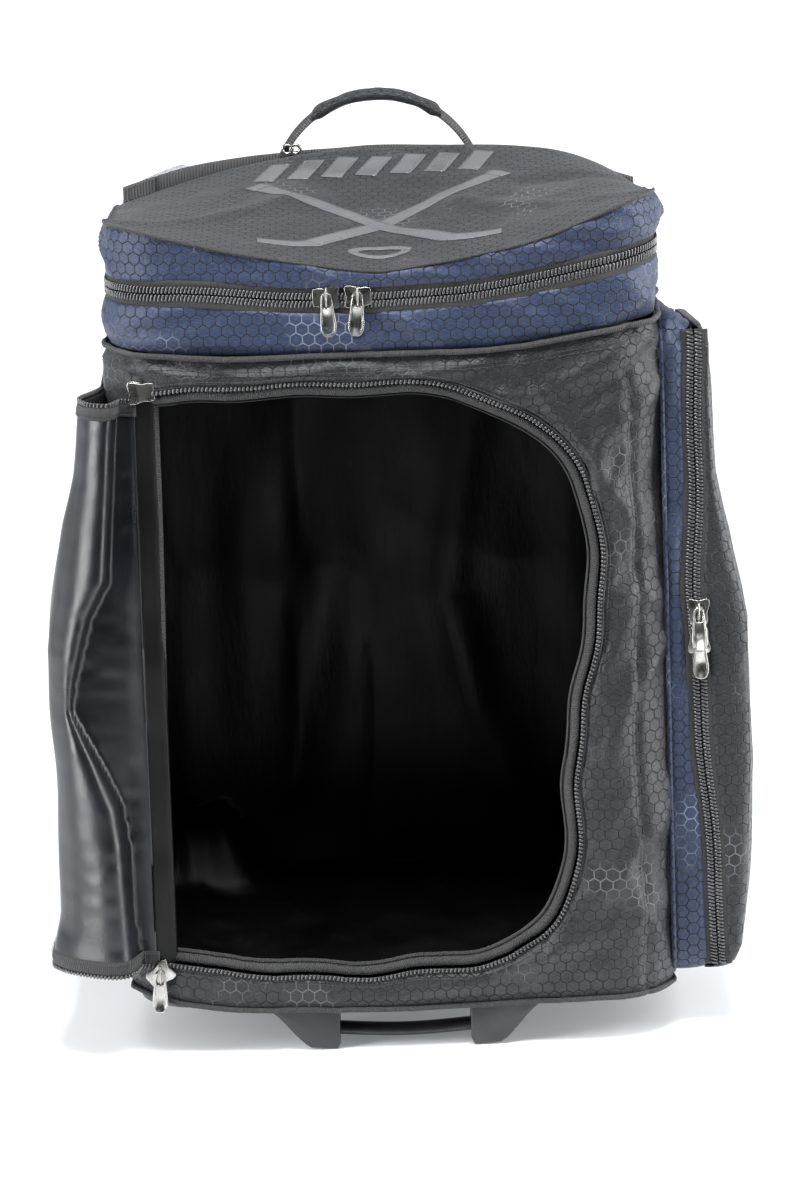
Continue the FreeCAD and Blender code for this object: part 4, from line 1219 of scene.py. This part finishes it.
def flap_edging():
    """Binding folded over the flap's edge, and its stitches."""
    rim_u, rim_z = flap_rim(FLAP_EDGE)
    in_u, in_z = flap_rim(FLAP_EDGE + 9.6)
    run = path_run(np.column_stack([rim_u, rim_z]))
    normal = flap_normal(rim_u, rim_z)
    rows, flats = [], []
    for share, height in ((0.0, -1.2), (0.05, 1.0), (0.5, 1.5), (0.95, 1.0), (1.0, 0.1)):
        u, z = rim_u * (1 - share) + in_u * share, rim_z * (1 - share) + in_z * share
        rows.append(flap_point(u, z) + normal * height)
        flats.append(np.stack([run, np.full(len(run), 12 * share)], axis=1))
    binding = thicken(grid_piece("flap_binding_tape", np.stack(rows), np.stack(flats), BINDING), 1.0)
    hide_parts("flap_binding")
    seam = flap_rim(FLAP_EDGE + 8.0)
    facing = flap_normal(*seam)
    return binding, stitches("flap_stitches", flap_point(*seam) + facing * 1.6, facing, THREAD)


def flap_zip():
    """The flap's half of the main zip."""
    line = flap_rim(FLAP_EDGE - 3.4)
    path = flap_point(*line)
    across = unit(flap_point(*flap_rim(FLAP_EDGE - 1.4)) - path)
    pieces = zip_half("flap_zip", path, across, flap_normal(*line), False)
    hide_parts("flap_zip_tape")
    return pieces


def flap():
    """The opened flap with its binding, stitches and zip."""
    sheet = flap_sheet()
    binding, thread = flap_edging()
    zip_pieces = flap_zip()
    for piece in [sheet, binding, thread] + zip_pieces:
        bend_flap(piece)


def flap_hinge_cloth():
    """Cloth and bound seam between the lining and the flap."""
    z = np.linspace(OPENING_BOTTOM + 4, OPENING_TOP - 4, 130)
    profile = ((-13.0, 4.4), (-11.5, 3.0), (-8.0, 2.2), (-4.0, 1.2), (0.0, 0.3), (3.0, 0.2))
    u, back = np.array(profile).T
    grid_u, grid_z = np.meshgrid(u, z)
    y = TAPE_Y + back[None, :] + 0.8 * ripples(grid_u, grid_z, 26, 95)
    points = np.stack([OPENING_LEFT - grid_u, y, grid_z], axis=2)
    cloth = grid_piece("flap_hinge_cloth", points, np.stack([grid_u, grid_z], axis=2), LINING, 1.2, flip=True)
    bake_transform(cloth)
    seam_x = OPENING_LEFT + 13.0 - 3 * ease(440, 200, z) - 2 * ease(240, 100, z)
    path = np.stack([seam_x, np.full(len(z), TAPE_Y + 5), z], axis=1)
    seam = tube_piece("flap_bound_seam", path, FORWARD, 2.6, BINDING, flatten=0.5)
    thread = stitches("bound_seam_stitches", path + 1.4 * FORWARD, FORWARD, THREAD, 3.0, 2.2)
    carried_by([seam, thread], "root")


# ---- side pocket ------------------------------------------------------------------
def pocket_ring(count=240):
    """Rounded rectangle of the pocket in (y, z) with outward directions, from the front's middle."""
    y0, y1 = POCKET_FRONT_Y + POCKET_R, POCKET_REAR_Y - POCKET_R
    z0, z1 = POCKET_LOW_Z + POCKET_R, POCKET_TOP_Z - POCKET_R
    points, normals = [[(POCKET_FRONT_Y, (POCKET_LOW_Z + POCKET_TOP_Z) / 2)]], [[(-1.0, 0.0)]]
    for centre, angle in (((y0, z1), 180), ((y1, z1), 90), ((y1, z0), 0), ((y0, z0), -90)):
        points.append(arc(centre, POCKET_R, angle, angle - 90, 14))
        normals.append(arc((0, 0), 1, angle, angle - 90, 14))
    points, normals = (np.vstack(rows + rows[:1]) for rows in (points, normals))
    run = path_run(points)
    where = np.arange(count) * run[-1] / count
    ring = at_distances(points, run, where)
    tall = (ring[:, 1] - POCKET_LOW_Z) / (POCKET_TOP_Z - POCKET_LOW_Z)
    ring[:, 1] -= POCKET_TOP_SLOPE * (ring[:, 0] - POCKET_FRONT_Y) * tall
    return ring, unit(at_distances(normals, run, where)), where


def pocket_zip_x(z):
    """The pocket's zip drifts outwards towards the bottom and leans in at the top."""
    return POCKET_ZIP_X + 9 * ease(270, 70, z) - 3 * hump(z, 330, 60) + 0.8 * np.sin(z / 19)


def pocket_reach(z):
    """Outside of the pocket: bulged low down, narrow at the top."""
    return np.interp(z, (40, 60, 110, 200, 303, 350, 406, 470, 520),
                     (238, 245, 250, 254, 253, 243, 232, 229, 226))


def pocket_gusset():
    """Blue gusset fixed to the bag, with the folded cap along its top."""
    ring, facing, where = pocket_ring()
    front = ease(0.2, 0.9, -facing[:, 0])
    end = 216.0 * (1 - front) + (pocket_zip_x(ring[:, 1]) - 8.2) * front
    rows, flats = [], []
    for share in np.linspace(0, 1, 9):
        x = POCKET_WALL_X + (end - POCKET_WALL_X) * share
        puff = 2.2 * math.sin(math.pi * share) * (1 + 0.8 * ripples(where, x, 40, 101)) - 0.8
        puff = puff + 1.2 * ripples(where, x, 22, 102)
        cap = ease(0.3, 0.95, facing[:, 1]) * 6.5 * math.sin(math.pi * min(share * 1.15 + 0.1, 1.0))
        place = ring + facing * puff[:, None]
        rows.append(np.column_stack([x, place[:, 0], place[:, 1] + cap]))
        flats.append(np.column_stack([where, x]))
    flat = np.stack(flats)
    flat = np.concatenate([flat, flat[:, :1] + np.array([where[-1] + where[1], 0])], axis=1)
    piece = grid_piece("pocket_gusset_cloth", np.stack(rows), flat, BLUE_CLOTH, FABRIC / 2,
                       loop=True, flip=True)
    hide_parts("pocket_gusset")
    edge = np.column_stack([np.full(len(ring), POCKET_WALL_X + 0.6), ring + facing * 1.2])
    normal = np.column_stack([np.zeros(len(ring)), facing])
    return [piece, tube_piece("pocket_piping", edge, normal, 1.7, BLUE_CLOTH, closed=True)]


def pocket_panel():
    """Black outer panel of the pocket with its side wall in one sewn shell."""
    ring, facing, _ = pocket_ring()
    front = ease(0.2, 0.9, -facing[:, 0])
    start = 217.4 * (1 - front) + (pocket_zip_x(ring[:, 1]) + 8.0) * front
    reach = np.maximum(pocket_reach(ring[:, 1]), start + 4)
    round_off = 5.0
    rows, flats = [], []
    for share in np.linspace(0, 1, 8):
        inward = round_off * share ** 4
        x = start + (reach - start) * share - inward * 0.3
        rows.append(np.column_stack([x, ring - facing * inward]))
        flats.append(ring + facing * (reach - x)[:, None])
    middle = np.array([(POCKET_FRONT_Y + POCKET_REAR_Y) / 2, (POCKET_LOW_Z + POCKET_TOP_Z) / 2])
    edge = ring - facing * round_off
    for share in np.linspace(0.02, 1, 44):
        place = edge * (1 - share) + middle * share
        y, z = place.T
        slack = 2.5 * ripples(y, z, 70, 111) + 1.6 * crumple(y, z, 58, 112) - 2.5
        x = pocket_reach(z) - 1.2 + 3.0 * ease(0, 0.12, share) + slack * ease(0, 0.2, share)
        rows.append(np.column_stack([x, place]))
        flats.append(place)
    piece = grid_piece("pocket_outer_cloth", np.stack(rows), np.stack(flats), BLACK_CLOTH, FABRIC / 2,
                       loop=True, flip=True)
    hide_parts("pocket_outer_panel")
    return piece


def pocket_zip():
    """Both halves of the pocket's zip; the outer one moves with the outer panel."""
    z = np.linspace(POCKET_LOW_Z + 8, POCKET_TOP_Z - 6, 200)
    curve = 5 * ease(70, 44, z) + 4 * ease(490, 516, z)
    path = np.stack([pocket_zip_x(z), POCKET_FRONT_Y + 0.8 + curve, z], axis=1)
    normal = np.tile(FORWARD, (len(z), 1))
    right = np.tile((1.0, 0.0, 0.0), (len(z), 1))
    inner = zip_half("pocket_zip_inner", path, -right, normal, True)
    outer = zip_half("pocket_zip_outer", path, right, normal, True)
    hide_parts("pocket_zip_inner_tape")
    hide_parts("pocket_zip_outer_tape")
    return inner, outer


# ---- carry handle -----------------------------------------------------------------
def handle_path(half_angle, count):
    """Points on the handle's arc, to an angle in degrees on each side of its top."""
    radius = (HANDLE_HALF_SPAN ** 2 + HANDLE_RISE ** 2) / (2 * HANDLE_RISE)
    centre = np.array([0.0, STRAP_Y, HANDLE_BASE_Z + HANDLE_RISE - radius])
    turn = np.radians(np.linspace(-half_angle, half_angle, count))
    outward = np.stack([np.sin(turn), np.zeros(count), np.cos(turn)], axis=1)
    return centre + radius * outward, outward


def rounded_wave(value, power=0.8):
    """A sine or cosine with fuller sides."""
    return math.copysign(abs(value) ** power, value)


def handle_sleeve(line, out):
    """Rolled cloth round the middle of the handle."""
    run, sides, half_depth = path_run(line), 20, 8.4
    girth = 4.3 + 0.4 * ripples(run, 0, 14, 121) + 0.5 * (hump(run, 8, 5) + hump(run, run[-1] - 8, 5))
    girth = girth * (0.62 + 0.38 * ease(0, 7, run) * ease(run[-1], run[-1] - 7, run))
    rows = []
    for k in range(sides):
        turn = k * 2 * math.pi / sides
        pinch = 0.8 * hump(turn, 0.6 * math.pi, 0.35)
        high = rounded_wave(math.sin(turn)) * (girth - pinch) + 0.4 * ripples(run, k * 2.0, 6, 122)
        rows.append(line - FORWARD * rounded_wave(math.cos(turn)) * half_depth + out * high[:, None])
    flat = np.stack(np.meshgrid(run, np.arange(sides + 1) * 2.1, indexing="ij"), axis=2)
    sleeve = grid_piece("handle_sleeve_cloth", np.stack(rows, axis=1), flat, BLACK_CLOTH,
                        loop=True, flip=True)
    close_ends(sleeve, 64)
    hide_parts("handle_sleeve")
    return sleeve


def handle_eyelet(name, x):
    """Small metal ring at the left foot of the handle."""
    turn = np.linspace(0, 2 * math.pi, 25)[:-1]
    path = np.stack([x + 3.6 * np.cos(turn), np.full(24, STRAP_Y - 9.4), HANDLE_BASE_Z + 3.2 * np.sin(turn)],
                    axis=1)
    return tube_piece(name, path, FORWARD, 1.3, NICKEL, closed=True)


def carry_handle():
    """Webbing loop, its rolled sleeve and the two eyelets at its left end."""
    points, outward = handle_path(64, 90)
    profile = [(-7.5, -2.3), (-7.2, 2.3), (0, 2.8), (7.2, 2.3), (7.5, -2.3), (0, -2.6), (-7.5, -2.3)]
    webbing = strip_piece("handle_loop", points, -FORWARD, outward, profile, WEBBING)
    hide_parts("handle_webbing")
    line, out = handle_path(38, 80)
    sleeve = handle_sleeve(line, out)
    thread = stitches("handle_stitches", line + out + 8.6 * FORWARD, FORWARD, THREAD, 3.0, 2.2)
    rings = [handle_eyelet(f"handle_eyelet_{k + 1}", x) for k, x in enumerate((-66.5, -60.5))]
    carried_by([webbing, thread], "carry_handle")
    carried_by([sleeve], "carry_handle")
    carried_by(rings, "root")


def lid_hinge_cloth():
    """Cloth that joins the lid's rear edge to the deck."""
    x = np.linspace(-188, 188, 140)
    top = lid_height(x, np.full(140, HINGE_Y)) - 0.6
    low = deck_height(x, np.full(140, HINGE_Y + 3)) + 0.2
    rows, flats = [], []
    for share in np.linspace(0, 1, 7):
        y = HINGE_Y - 1.5 + 4.5 * share + 1.2 * math.sin(math.pi * share)
        rows.append(np.stack([x, np.full(140, y), top * (1 - share) + low * share], axis=1))
        flats.append(np.column_stack([x, np.full(140, 15 * share)]))
    piece = thicken(grid_piece("lid_hinge_cloth", np.stack(rows), np.stack(flats), BINDING, flip=True), 0.9)
    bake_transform(piece)


def webbing_band(name, x, y, low, profile, thick, flip=False):
    """Upright webbing along x; profile lists (height, distance back) pairs above low."""
    rows = [np.stack([x, y + back, low + height], axis=1) for height, back in profile]
    flats = [np.column_stack([x, np.full(len(x), height)]) for height, _ in profile]
    return thicken(grid_piece(name, np.stack(rows), np.stack(flats), WEBBING, flip=flip), thick)


def rear_strap():
    """Ribbed webbing along the rear deck, folded and stitched at both ends."""
    x = np.linspace(-187, 187, 150)
    profile = ((0.0, 0.6), (1.5, 0.0), (6.5, -0.4), (11.5, 0.0), (13.0, 0.8))
    y = STRAP_Y - 1.2 + 0.6 * ripples(x, 0, 40, 131)
    strap = webbing_band("rear_strap_webbing", x, y, deck_height(x, STRAP_Y) + 0.4, profile, 2.2)
    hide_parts("handle_strap")
    pieces = [strap]
    for side, name in ((-1, "left"), (1, "right")):
        x = side * np.linspace(166, 190, 14)
        y = np.full(14, STRAP_Y - 4.2)
        profile = [(height, 0.0) for height in (0.8, 4.0, 8.0, 11.5, 14.0)]
        low = deck_height(x, STRAP_Y)
        pieces.append(webbing_band(f"strap_fold_{name}", x, y, low, profile, 2.0, side < 0))
        for k, x in enumerate((side * 169.0, side * 186.0)):
            foot = deck_height(x, STRAP_Y)
            line = np.array([(x, STRAP_Y - 4.6, foot + height) for height in np.linspace(1.5, 13.0, 12)])
            pieces.append(stitches(f"strap_stitches_{name}_{k + 1}", line, FORWARD, THREAD, 2.4, 1.9, 0.3))
    return pieces


# ---- moulded foot -----------------------------------------------------------------
FOOT_GAP = 47.0
FOOT_FRONT_Y = -166.0
FOOT_REAR_Y = -116.0


def foot_side(side):
    """Outline of one foot in (x, z): flat sole, rounded toe and a curved flank."""
    flank = [(68 + 31 * t, 0.4 + (FLOOR_Z - 1) * ease(-0.15, 1.1, t)) for t in np.linspace(0, 1, 9)]
    inner = [(FOOT_GAP, FLOOR_Z - 0.4), (FOOT_GAP, 5.0), (FOOT_GAP + 2, 0.4)]
    return [(side * x, z) for x, z in flank + inner]


def foot():
    """Two curved feet and the slim lifting bar between them."""
    pieces = []
    for side, name in ((-1, "left"), (1, "right")):
        points, faces = plate(foot_side(side), FOOT_FRONT_Y, FOOT_REAR_Y)
        placed = [(x, y, z) for x, z, y in points]
        pieces.append(mesh_piece(f"foot_{name}", placed, faces, BLACK_PLASTIC))
        soften(pieces[-1], 3.0)
    x = np.linspace(-FOOT_GAP - 3, FOOT_GAP + 3, 30)
    bar = np.stack([x, np.full(30, -149.0), 11.5 - 2.5 * np.cos(x / FOOT_GAP * math.pi / 2)], axis=1)
    pieces.append(tube_piece("foot_bar", bar, (0, 0, 1), 9.5, BLACK_PLASTIC, 20, 0.45))
    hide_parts("foot_bracket")
    return pieces


# ---- sliders and pulls ------------------------------------------------------------
def plate(outline_points, low, high):
    """Flat plate from a closed outline, as points (a, b, height) and faces."""
    count = len(outline_points)
    points = [(a, b, low) for a, b in outline_points] + [(a, b, high) for a, b in outline_points]
    faces = [tuple(range(count))[::-1], tuple(range(count, 2 * count))]
    faces += [(k, (k + 1) % count, count + (k + 1) % count, count + k) for k in range(count)]
    return points, faces


def slider_outline():
    """Crown-shaped outline: two shoulders at the wide end, a waist and a rounded tail."""
    upper = [(-9.4, 4.8), (-8.8, 6.0), (-6.0, 6.6), (-1.5, 6.2), (2.0, 7.0), (5.0, 7.9), (8.2, 7.7),
             (9.4, 6.0), (8.0, 0.0)]
    return upper + [(a, -b) for a, b in reversed(upper[:-1])]


def slider_body():
    """Two plates, a post and side flanges, as points (along, across, height) and faces."""
    points, faces = [], []

    def add(shape, low, high):
        """One more plate."""
        made, sides = plate(shape, low, high)
        shift = len(points)
        points.extend(made)
        faces.extend(tuple(i + shift for i in face) for face in sides)

    add(slider_outline(), 1.6, 2.9)
    add(slider_outline(), -2.9, -1.6)
    for side in (-1, 1):
        flange = [(-8.4, side * 4.6), (-1.0, side * 4.6), (3.6, side * 6.4), (3.6, side * 7.2),
                  (-1.0, side * 5.5), (-8.4, side * 5.4)]
        add(flange[::side], 0.9, 2.0)
    add([(5.2, -0.8), (6.8, -0.8), (6.8, 0.8), (5.2, 0.8)], -1.7, 1.7)
    return np.array(points, float), faces


def turned(a, b, degrees):
    """Two coordinates turned about their origin."""
    spin = math.radians(degrees)
    return a * math.cos(spin) - b * math.sin(spin), a * math.sin(spin) + b * math.cos(spin)


def slider_piece(name, along, turn, inside=False):
    """Zip slider: its body and the bridge that holds its pull."""
    body, faces = slider_body()
    a, b = turned(body[:, 0], body[:, 1], turn)
    x, z = (-b, a) if along == "Z" else (a, b)
    body = np.stack([x, -body[:, 2], z], axis=1)
    bridge = [(2.4, -5.6), (4.6, -5.4), (6.4, -4.6), (7.3, -2.5), (7.5, 0.8), (7.2, 4.0), (6.2, 6.0),
              (4.4, 6.6), (2.4, 6.7)]
    path = np.array([(0, -out, height) for out, height in bridge])
    sides, first = 8, len(body)
    placed = np.vstack([body, tube_points(path, (1.0, 0.0, 0.0), 1.5, sides, 0.55).reshape(-1, 3)])
    faces += ring_faces(len(path), sides, first)
    faces.append(tuple(first + k for k in range(sides))[::-1])
    faces.append(tuple(first + (len(path) - 1) * sides + k for k in range(sides)))
    if inside:
        placed[:, 1] *= -1
    piece = mesh_piece(name + "_slider_body", placed + np.array(SLIDER_AT[name]), faces, NICKEL)
    soften(piece, 0.45)
    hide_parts(name + "_slider")
    carried_by([piece], name + "_slider")


PULL_SIDES = 56
PULL_TURN = np.arange(PULL_SIDES) * 2 * math.pi / PULL_SIDES
PULL_WIDTHS = ((-28, 4.6), (-26.3, 5.8), (-23, 6.3), (-17, 5.6), (-9, 4.7), (0, 4.4), (2.6, 3.9), (4, 3.0))
PULL_PIVOT = np.array([0.0, 0.0, 2.75])


def squared(wave, power):
    """A sine or cosine row with fuller sides."""
    return np.sign(wave) * np.abs(wave) ** power


def pull_loop(grow):
    """Teardrop outline of a pull in (x, z) about its eye, grown by grow."""
    z = -11.9 + (15.8 + grow) * np.cos(PULL_TURN)
    width = np.interp(z, *zip(*PULL_WIDTHS)) + grow
    return np.stack([width * squared(np.sin(PULL_TURN), 0.45), z], axis=1)


def eye_loop(grow):
    """Rounded rectangular eye of a pull in (x, z), grown by grow."""
    x = squared(np.sin(PULL_TURN), 0.4) * (2.5 + grow)
    z = -2.6 + squared(np.cos(PULL_TURN), 0.4) * (4.2 + grow)
    return np.stack([x, z], axis=1)


def pull_piece(name, tilt=0.0, swing=0.0, inside=False):
    """Teardrop pull with a raised rim round its face and its eye."""
    rings = ((eye_loop(0), 0.2), (eye_loop(0.35), 0.75), (eye_loop(0.9), 0.85), (eye_loop(1.3), 0.35),
             (pull_loop(-1.7), 0.35), (pull_loop(-1.2), 0.85), (pull_loop(-0.5), 0.9), (pull_loop(0), 0.4),
             (pull_loop(0), -0.5), (pull_loop(-0.4), -0.9), (eye_loop(0.4), -0.9), (eye_loop(0), -0.5))
    points = np.vstack([np.column_stack([ring[:, 0], np.full(PULL_SIDES, -height), ring[:, 1]])
                        for ring, height in rings])
    x, y, z = (points - PULL_PIVOT).T
    z, y = turned(z, y, tilt)
    x, z = turned(x, z, swing)
    placed = np.column_stack([x, y, z]) + PULL_PIVOT
    placed[:, 1] -= 4.9
    if inside:
        placed[:, 1] *= -1
    faces = ring_faces(len(rings), PULL_SIDES, joined=True)
    piece = mesh_piece(name + "_pull_tab", placed + np.array(SLIDER_AT[name]), faces, NICKEL)
    face_outwards(piece)
    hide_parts(name + "_pull")
    carried_by([piece], name + "_pull")


def sliders():
    """Every zip's two sliders with their pulls."""
    slider_piece("lid_zip_left", "X", 0)
    slider_piece("lid_zip_right", "X", 180)
    slider_piece("main_zip_upper", "X", 184, inside=True)
    slider_piece("main_zip_lower", "X", 38)
    slider_piece("pocket_zip_upper", "Z", 0)
    slider_piece("pocket_zip_lower", "Z", 180)
    pull_piece("lid_zip_left", swing=3)
    pull_piece("lid_zip_right", swing=-4)
    pull_piece("main_zip_upper", inside=True)
    pull_piece("main_zip_lower", swing=-2)
    pull_piece("pocket_zip_upper", tilt=22)
    pull_piece("pocket_zip_lower", swing=2)


# ---- print on the lid -------------------------------------------------------------
def print_stroke(name, path, width):
    """Flat print that lies on the lid along an (x, y) path."""
    end = path_run(path)[-1]
    count = max(int(end / 3), 6)
    where, line = np.linspace(0, end, count), evenly(path, count)
    travel = unit(np.gradient(line, axis=0))
    across = np.stack([-travel[:, 1], travel[:, 0]], axis=1)
    rows, flats = [], []
    for d in np.linspace(-width / 2, width / 2, 6):
        x, y = (line + across * d).T
        rows.append(np.stack([x, y, lid_height(x, y) + 0.45], axis=1))
        flats.append(np.column_stack([where, np.full(count, d)]))
    return thicken(grid_piece(name, np.stack(rows), np.stack(flats), PRINT), 0.3)


def lid_print():
    """Generic print: crossed hockey sticks over a puck, with a row of slanted bars behind."""
    pieces = []
    for side, name in ((-1, "left"), (1, "right")):
        heel = [(side * t, y) for t, y in ((84, 44), (-40, -96), (-48, -108), (-58, -114), (-86, -116))]
        pieces.append(print_stroke(f"print_stick_{name}", heel, 15.0))
        butt = [(side * 84, 44), (side * 91, 52)]
        pieces.append(print_stroke(f"print_butt_{name}", butt, 17.0))
    turn = np.linspace(0, 2 * math.pi, 40)
    puck = [(19 * math.cos(t), -118 + 11 * math.sin(t)) for t in turn]
    pieces.append(print_stroke("print_puck", puck, 8.0))
    for k in range(7):
        x = -84 + 25 * k
        pieces.append(print_stroke(f"print_bar_{k + 1}", [(x, 62), (x + 13, 106)], 16.0))
    return pieces


# ---- put the bag together ---------------------------------------------------------
def build_bag():
    """Make every visual piece and say what carries it."""
    root_cloth = [front_panel(), back_pad(), bottom_cloth()] + side_panels()
    carried_by(root_cloth, "root")
    band = band_piece("lower_band_cloth", seam_top, lower_band_top, 14, "top_lower_band", 2.0, 0.6)
    carried_by([band], "root")
    lid_band = band_piece("lid_band_cloth", lid_band_low, lid_edge, 16, "lid_band", 0.6, 0.8)
    carried_by([lid_band], "lid")
    carried_by([lid_cloth()], "lid")
    carried_by([lid_seams()], "lid")
    carried_by(lid_print(), "lid")
    carried_by(rear_deck(), "root")
    carried_by(body_seams(), "root")
    lower, upper = lid_zip()
    carried_by(lower, "root")
    carried_by(upper, "lid")
    carried_by(main_zip_body(), "root")
    carried_by([opening_ribbon()], "root")
    carried_by([lining_shell(), compartment_floor()], "root")
    flap()
    flap_hinge_cloth()
    carried_by(pocket_gusset(), "root")
    carried_by([pocket_panel()], "pocket_panel")
    inner, outer = pocket_zip()
    carried_by(inner, "root")
    carried_by(outer, "pocket_panel")
    carry_handle()
    carried_by(foot(), "root")
    carried_by(rear_strap(), "root")
    lid_hinge_cloth()
    sliders()


def finish_hardware():
    """Materials for the CAD nodes that stay."""
    looks = {
        BOARD: ("base_board", "back_board"),
        BLACK_PLASTIC: ("foot_bracket", "wheel_housing_left", "wheel_housing_right", "wheel_hub_left",
                        "wheel_hub_right", "trolley_base", "trolley_bezel", "trolley_grip"),
        BUTTON: ("trolley_release_button",),
        ALUMINIUM: ("trolley_outer_tubes", "trolley_middle_tubes", "trolley_inner_tubes"),
        STEEL: ("foot_screws", "wheel_axles", "wheel_bearings_left", "wheel_bearings_right",
                "button_spring", "trolley_push_rods"),
        RUBBER: ("wheel_tyre_left", "wheel_tyre_right"),
    }
    for material, names in looks.items():
        for name in names:
            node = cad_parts[name]
            node.data.materials.clear()
            node.data.materials.append(material)


# ---- floor, light and camera ------------------------------------------------------
def studio_floor():
    """White floor with a faint gloss that glows: a painted glow, grey near the bag and white far from it."""
    f = Finish("studio_floor", Roughness=0.16, Emission_Strength=0.85)
    where = f.solid()
    # Painted glow: the floor's emission rises from grey beside the bag to white far off, standing in for
    # studio light.
    away = f.band(f.length(where), 0.5, 2.6)
    f.set("Emission Color", f.blend(away, (0.20, 0.205, 0.21, 1), (0.98, 0.99, 1, 1)))
    f.set("Base Color", f.blend(f.noise(where, 3.0), (0.90, 0.91, 0.93, 1), (0.93, 0.94, 0.95, 1)))
    size, front_edge = 9000.0, -720.0        # ends close in front, so the bag's face doesn't mirror it
    points = [(-size, front_edge, 0), (size, front_edge, 0), (size, size, 0), (-size, size, 0)]
    floor = mesh_piece("studio_floor", points, [(0, 1, 2, 3)], f.material, smooth=False)


def area_light(name, place, aim, width, height, power):
    """Soft rectangular light at one point, aimed at another."""
    light = bpy.data.lights.new(name, "AREA")
    light.shape = "RECTANGLE"
    light.size, light.size_y = width, height
    light.energy = power
    lamp = bpy.data.objects.new(name, light)
    bpy.context.scene.collection.objects.link(lamp)
    lamp.location = to_scene(place)
    direction = Vector(to_scene(aim)) - Vector(to_scene(place))
    lamp.rotation_euler = direction.to_track_quat("-Z", "Y").to_euler()


FRONT_GLOW = 0.03
REAR_GLOW = 0.5


def surroundings():
    """White to the camera; dim light from the front and brighter light from the rear and sides."""
    world = bpy.data.worlds.new("studio")
    world.use_nodes = True
    nodes = Nodes(world.node_tree)
    shown = nodes.tree.nodes["Background"]
    shown.inputs[0].default_value = (1, 1, 1, 1)
    shown.inputs[1].default_value = 1.05
    direction = nodes.add("ShaderNodeTexCoord").outputs["Generated"]
    parts = nodes.add("ShaderNodeSeparateXYZ", {0: direction}).outputs
    around = nodes.maths("MULTIPLY_ADD", nodes.maths("ABSOLUTE", parts[0]), 0.8, parts[1])
    glow = nodes.band(around, -0.4, 0.75, FRONT_GLOW, REAR_GLOW)
    lit = nodes.add("ShaderNodeBackground", {0: (0.92, 0.96, 1, 1), 1: glow}).outputs[0]
    seen = nodes.add("ShaderNodeLightPath").outputs["Is Camera Ray"]
    mix = nodes.add("ShaderNodeMixShader", {0: seen, 1: lit, 2: shown.outputs[0]})
    nodes.tree.links.new(mix.outputs[0], nodes.tree.nodes["World Output"].inputs[0])
    bpy.context.scene.world = world


def place_camera():
    """The camera in front of the bag, a little above it and slightly rolled."""
    camera = bpy.data.objects.new("camera", bpy.data.cameras.new("camera"))
    bpy.context.scene.collection.objects.link(camera)
    bpy.context.scene.camera = camera
    distance, elevation, roll = 4.2, math.radians(14), math.radians(-1.9)
    away = Vector((0, -math.cos(elevation), math.sin(elevation)))
    camera.location = Vector(to_scene((6, FRONT_Y, 332))) + away * distance
    look = (-away).to_track_quat("-Z", "Y").to_matrix()
    camera.rotation_euler = (look @ Matrix.Rotation(roll, 3, Vector((0, 0, 1)))).to_euler()
    camera.data.lens = 179
    camera.data.sensor_width = 36


def studio():
    """White surroundings, soft lights and the camera."""
    surroundings()
    bpy.context.scene.view_settings.view_transform = "Standard"
    middle = (0, 0, 320)
    area_light("top_light", (60, -760, 2000), middle, 0.9, 0.7, 62)
    area_light("left_light", (-1450, -860, 720), middle, 0.5, 1.7, 46)
    area_light("right_light", (1500, -200, 700), middle, 0.9, 1.7, 48)
    area_light("front_light", (500, -2300, 1500), middle, 0.8, 0.6, 3)
    place_camera()


studio_floor()
studio()
finish_hardware()
build_bag()
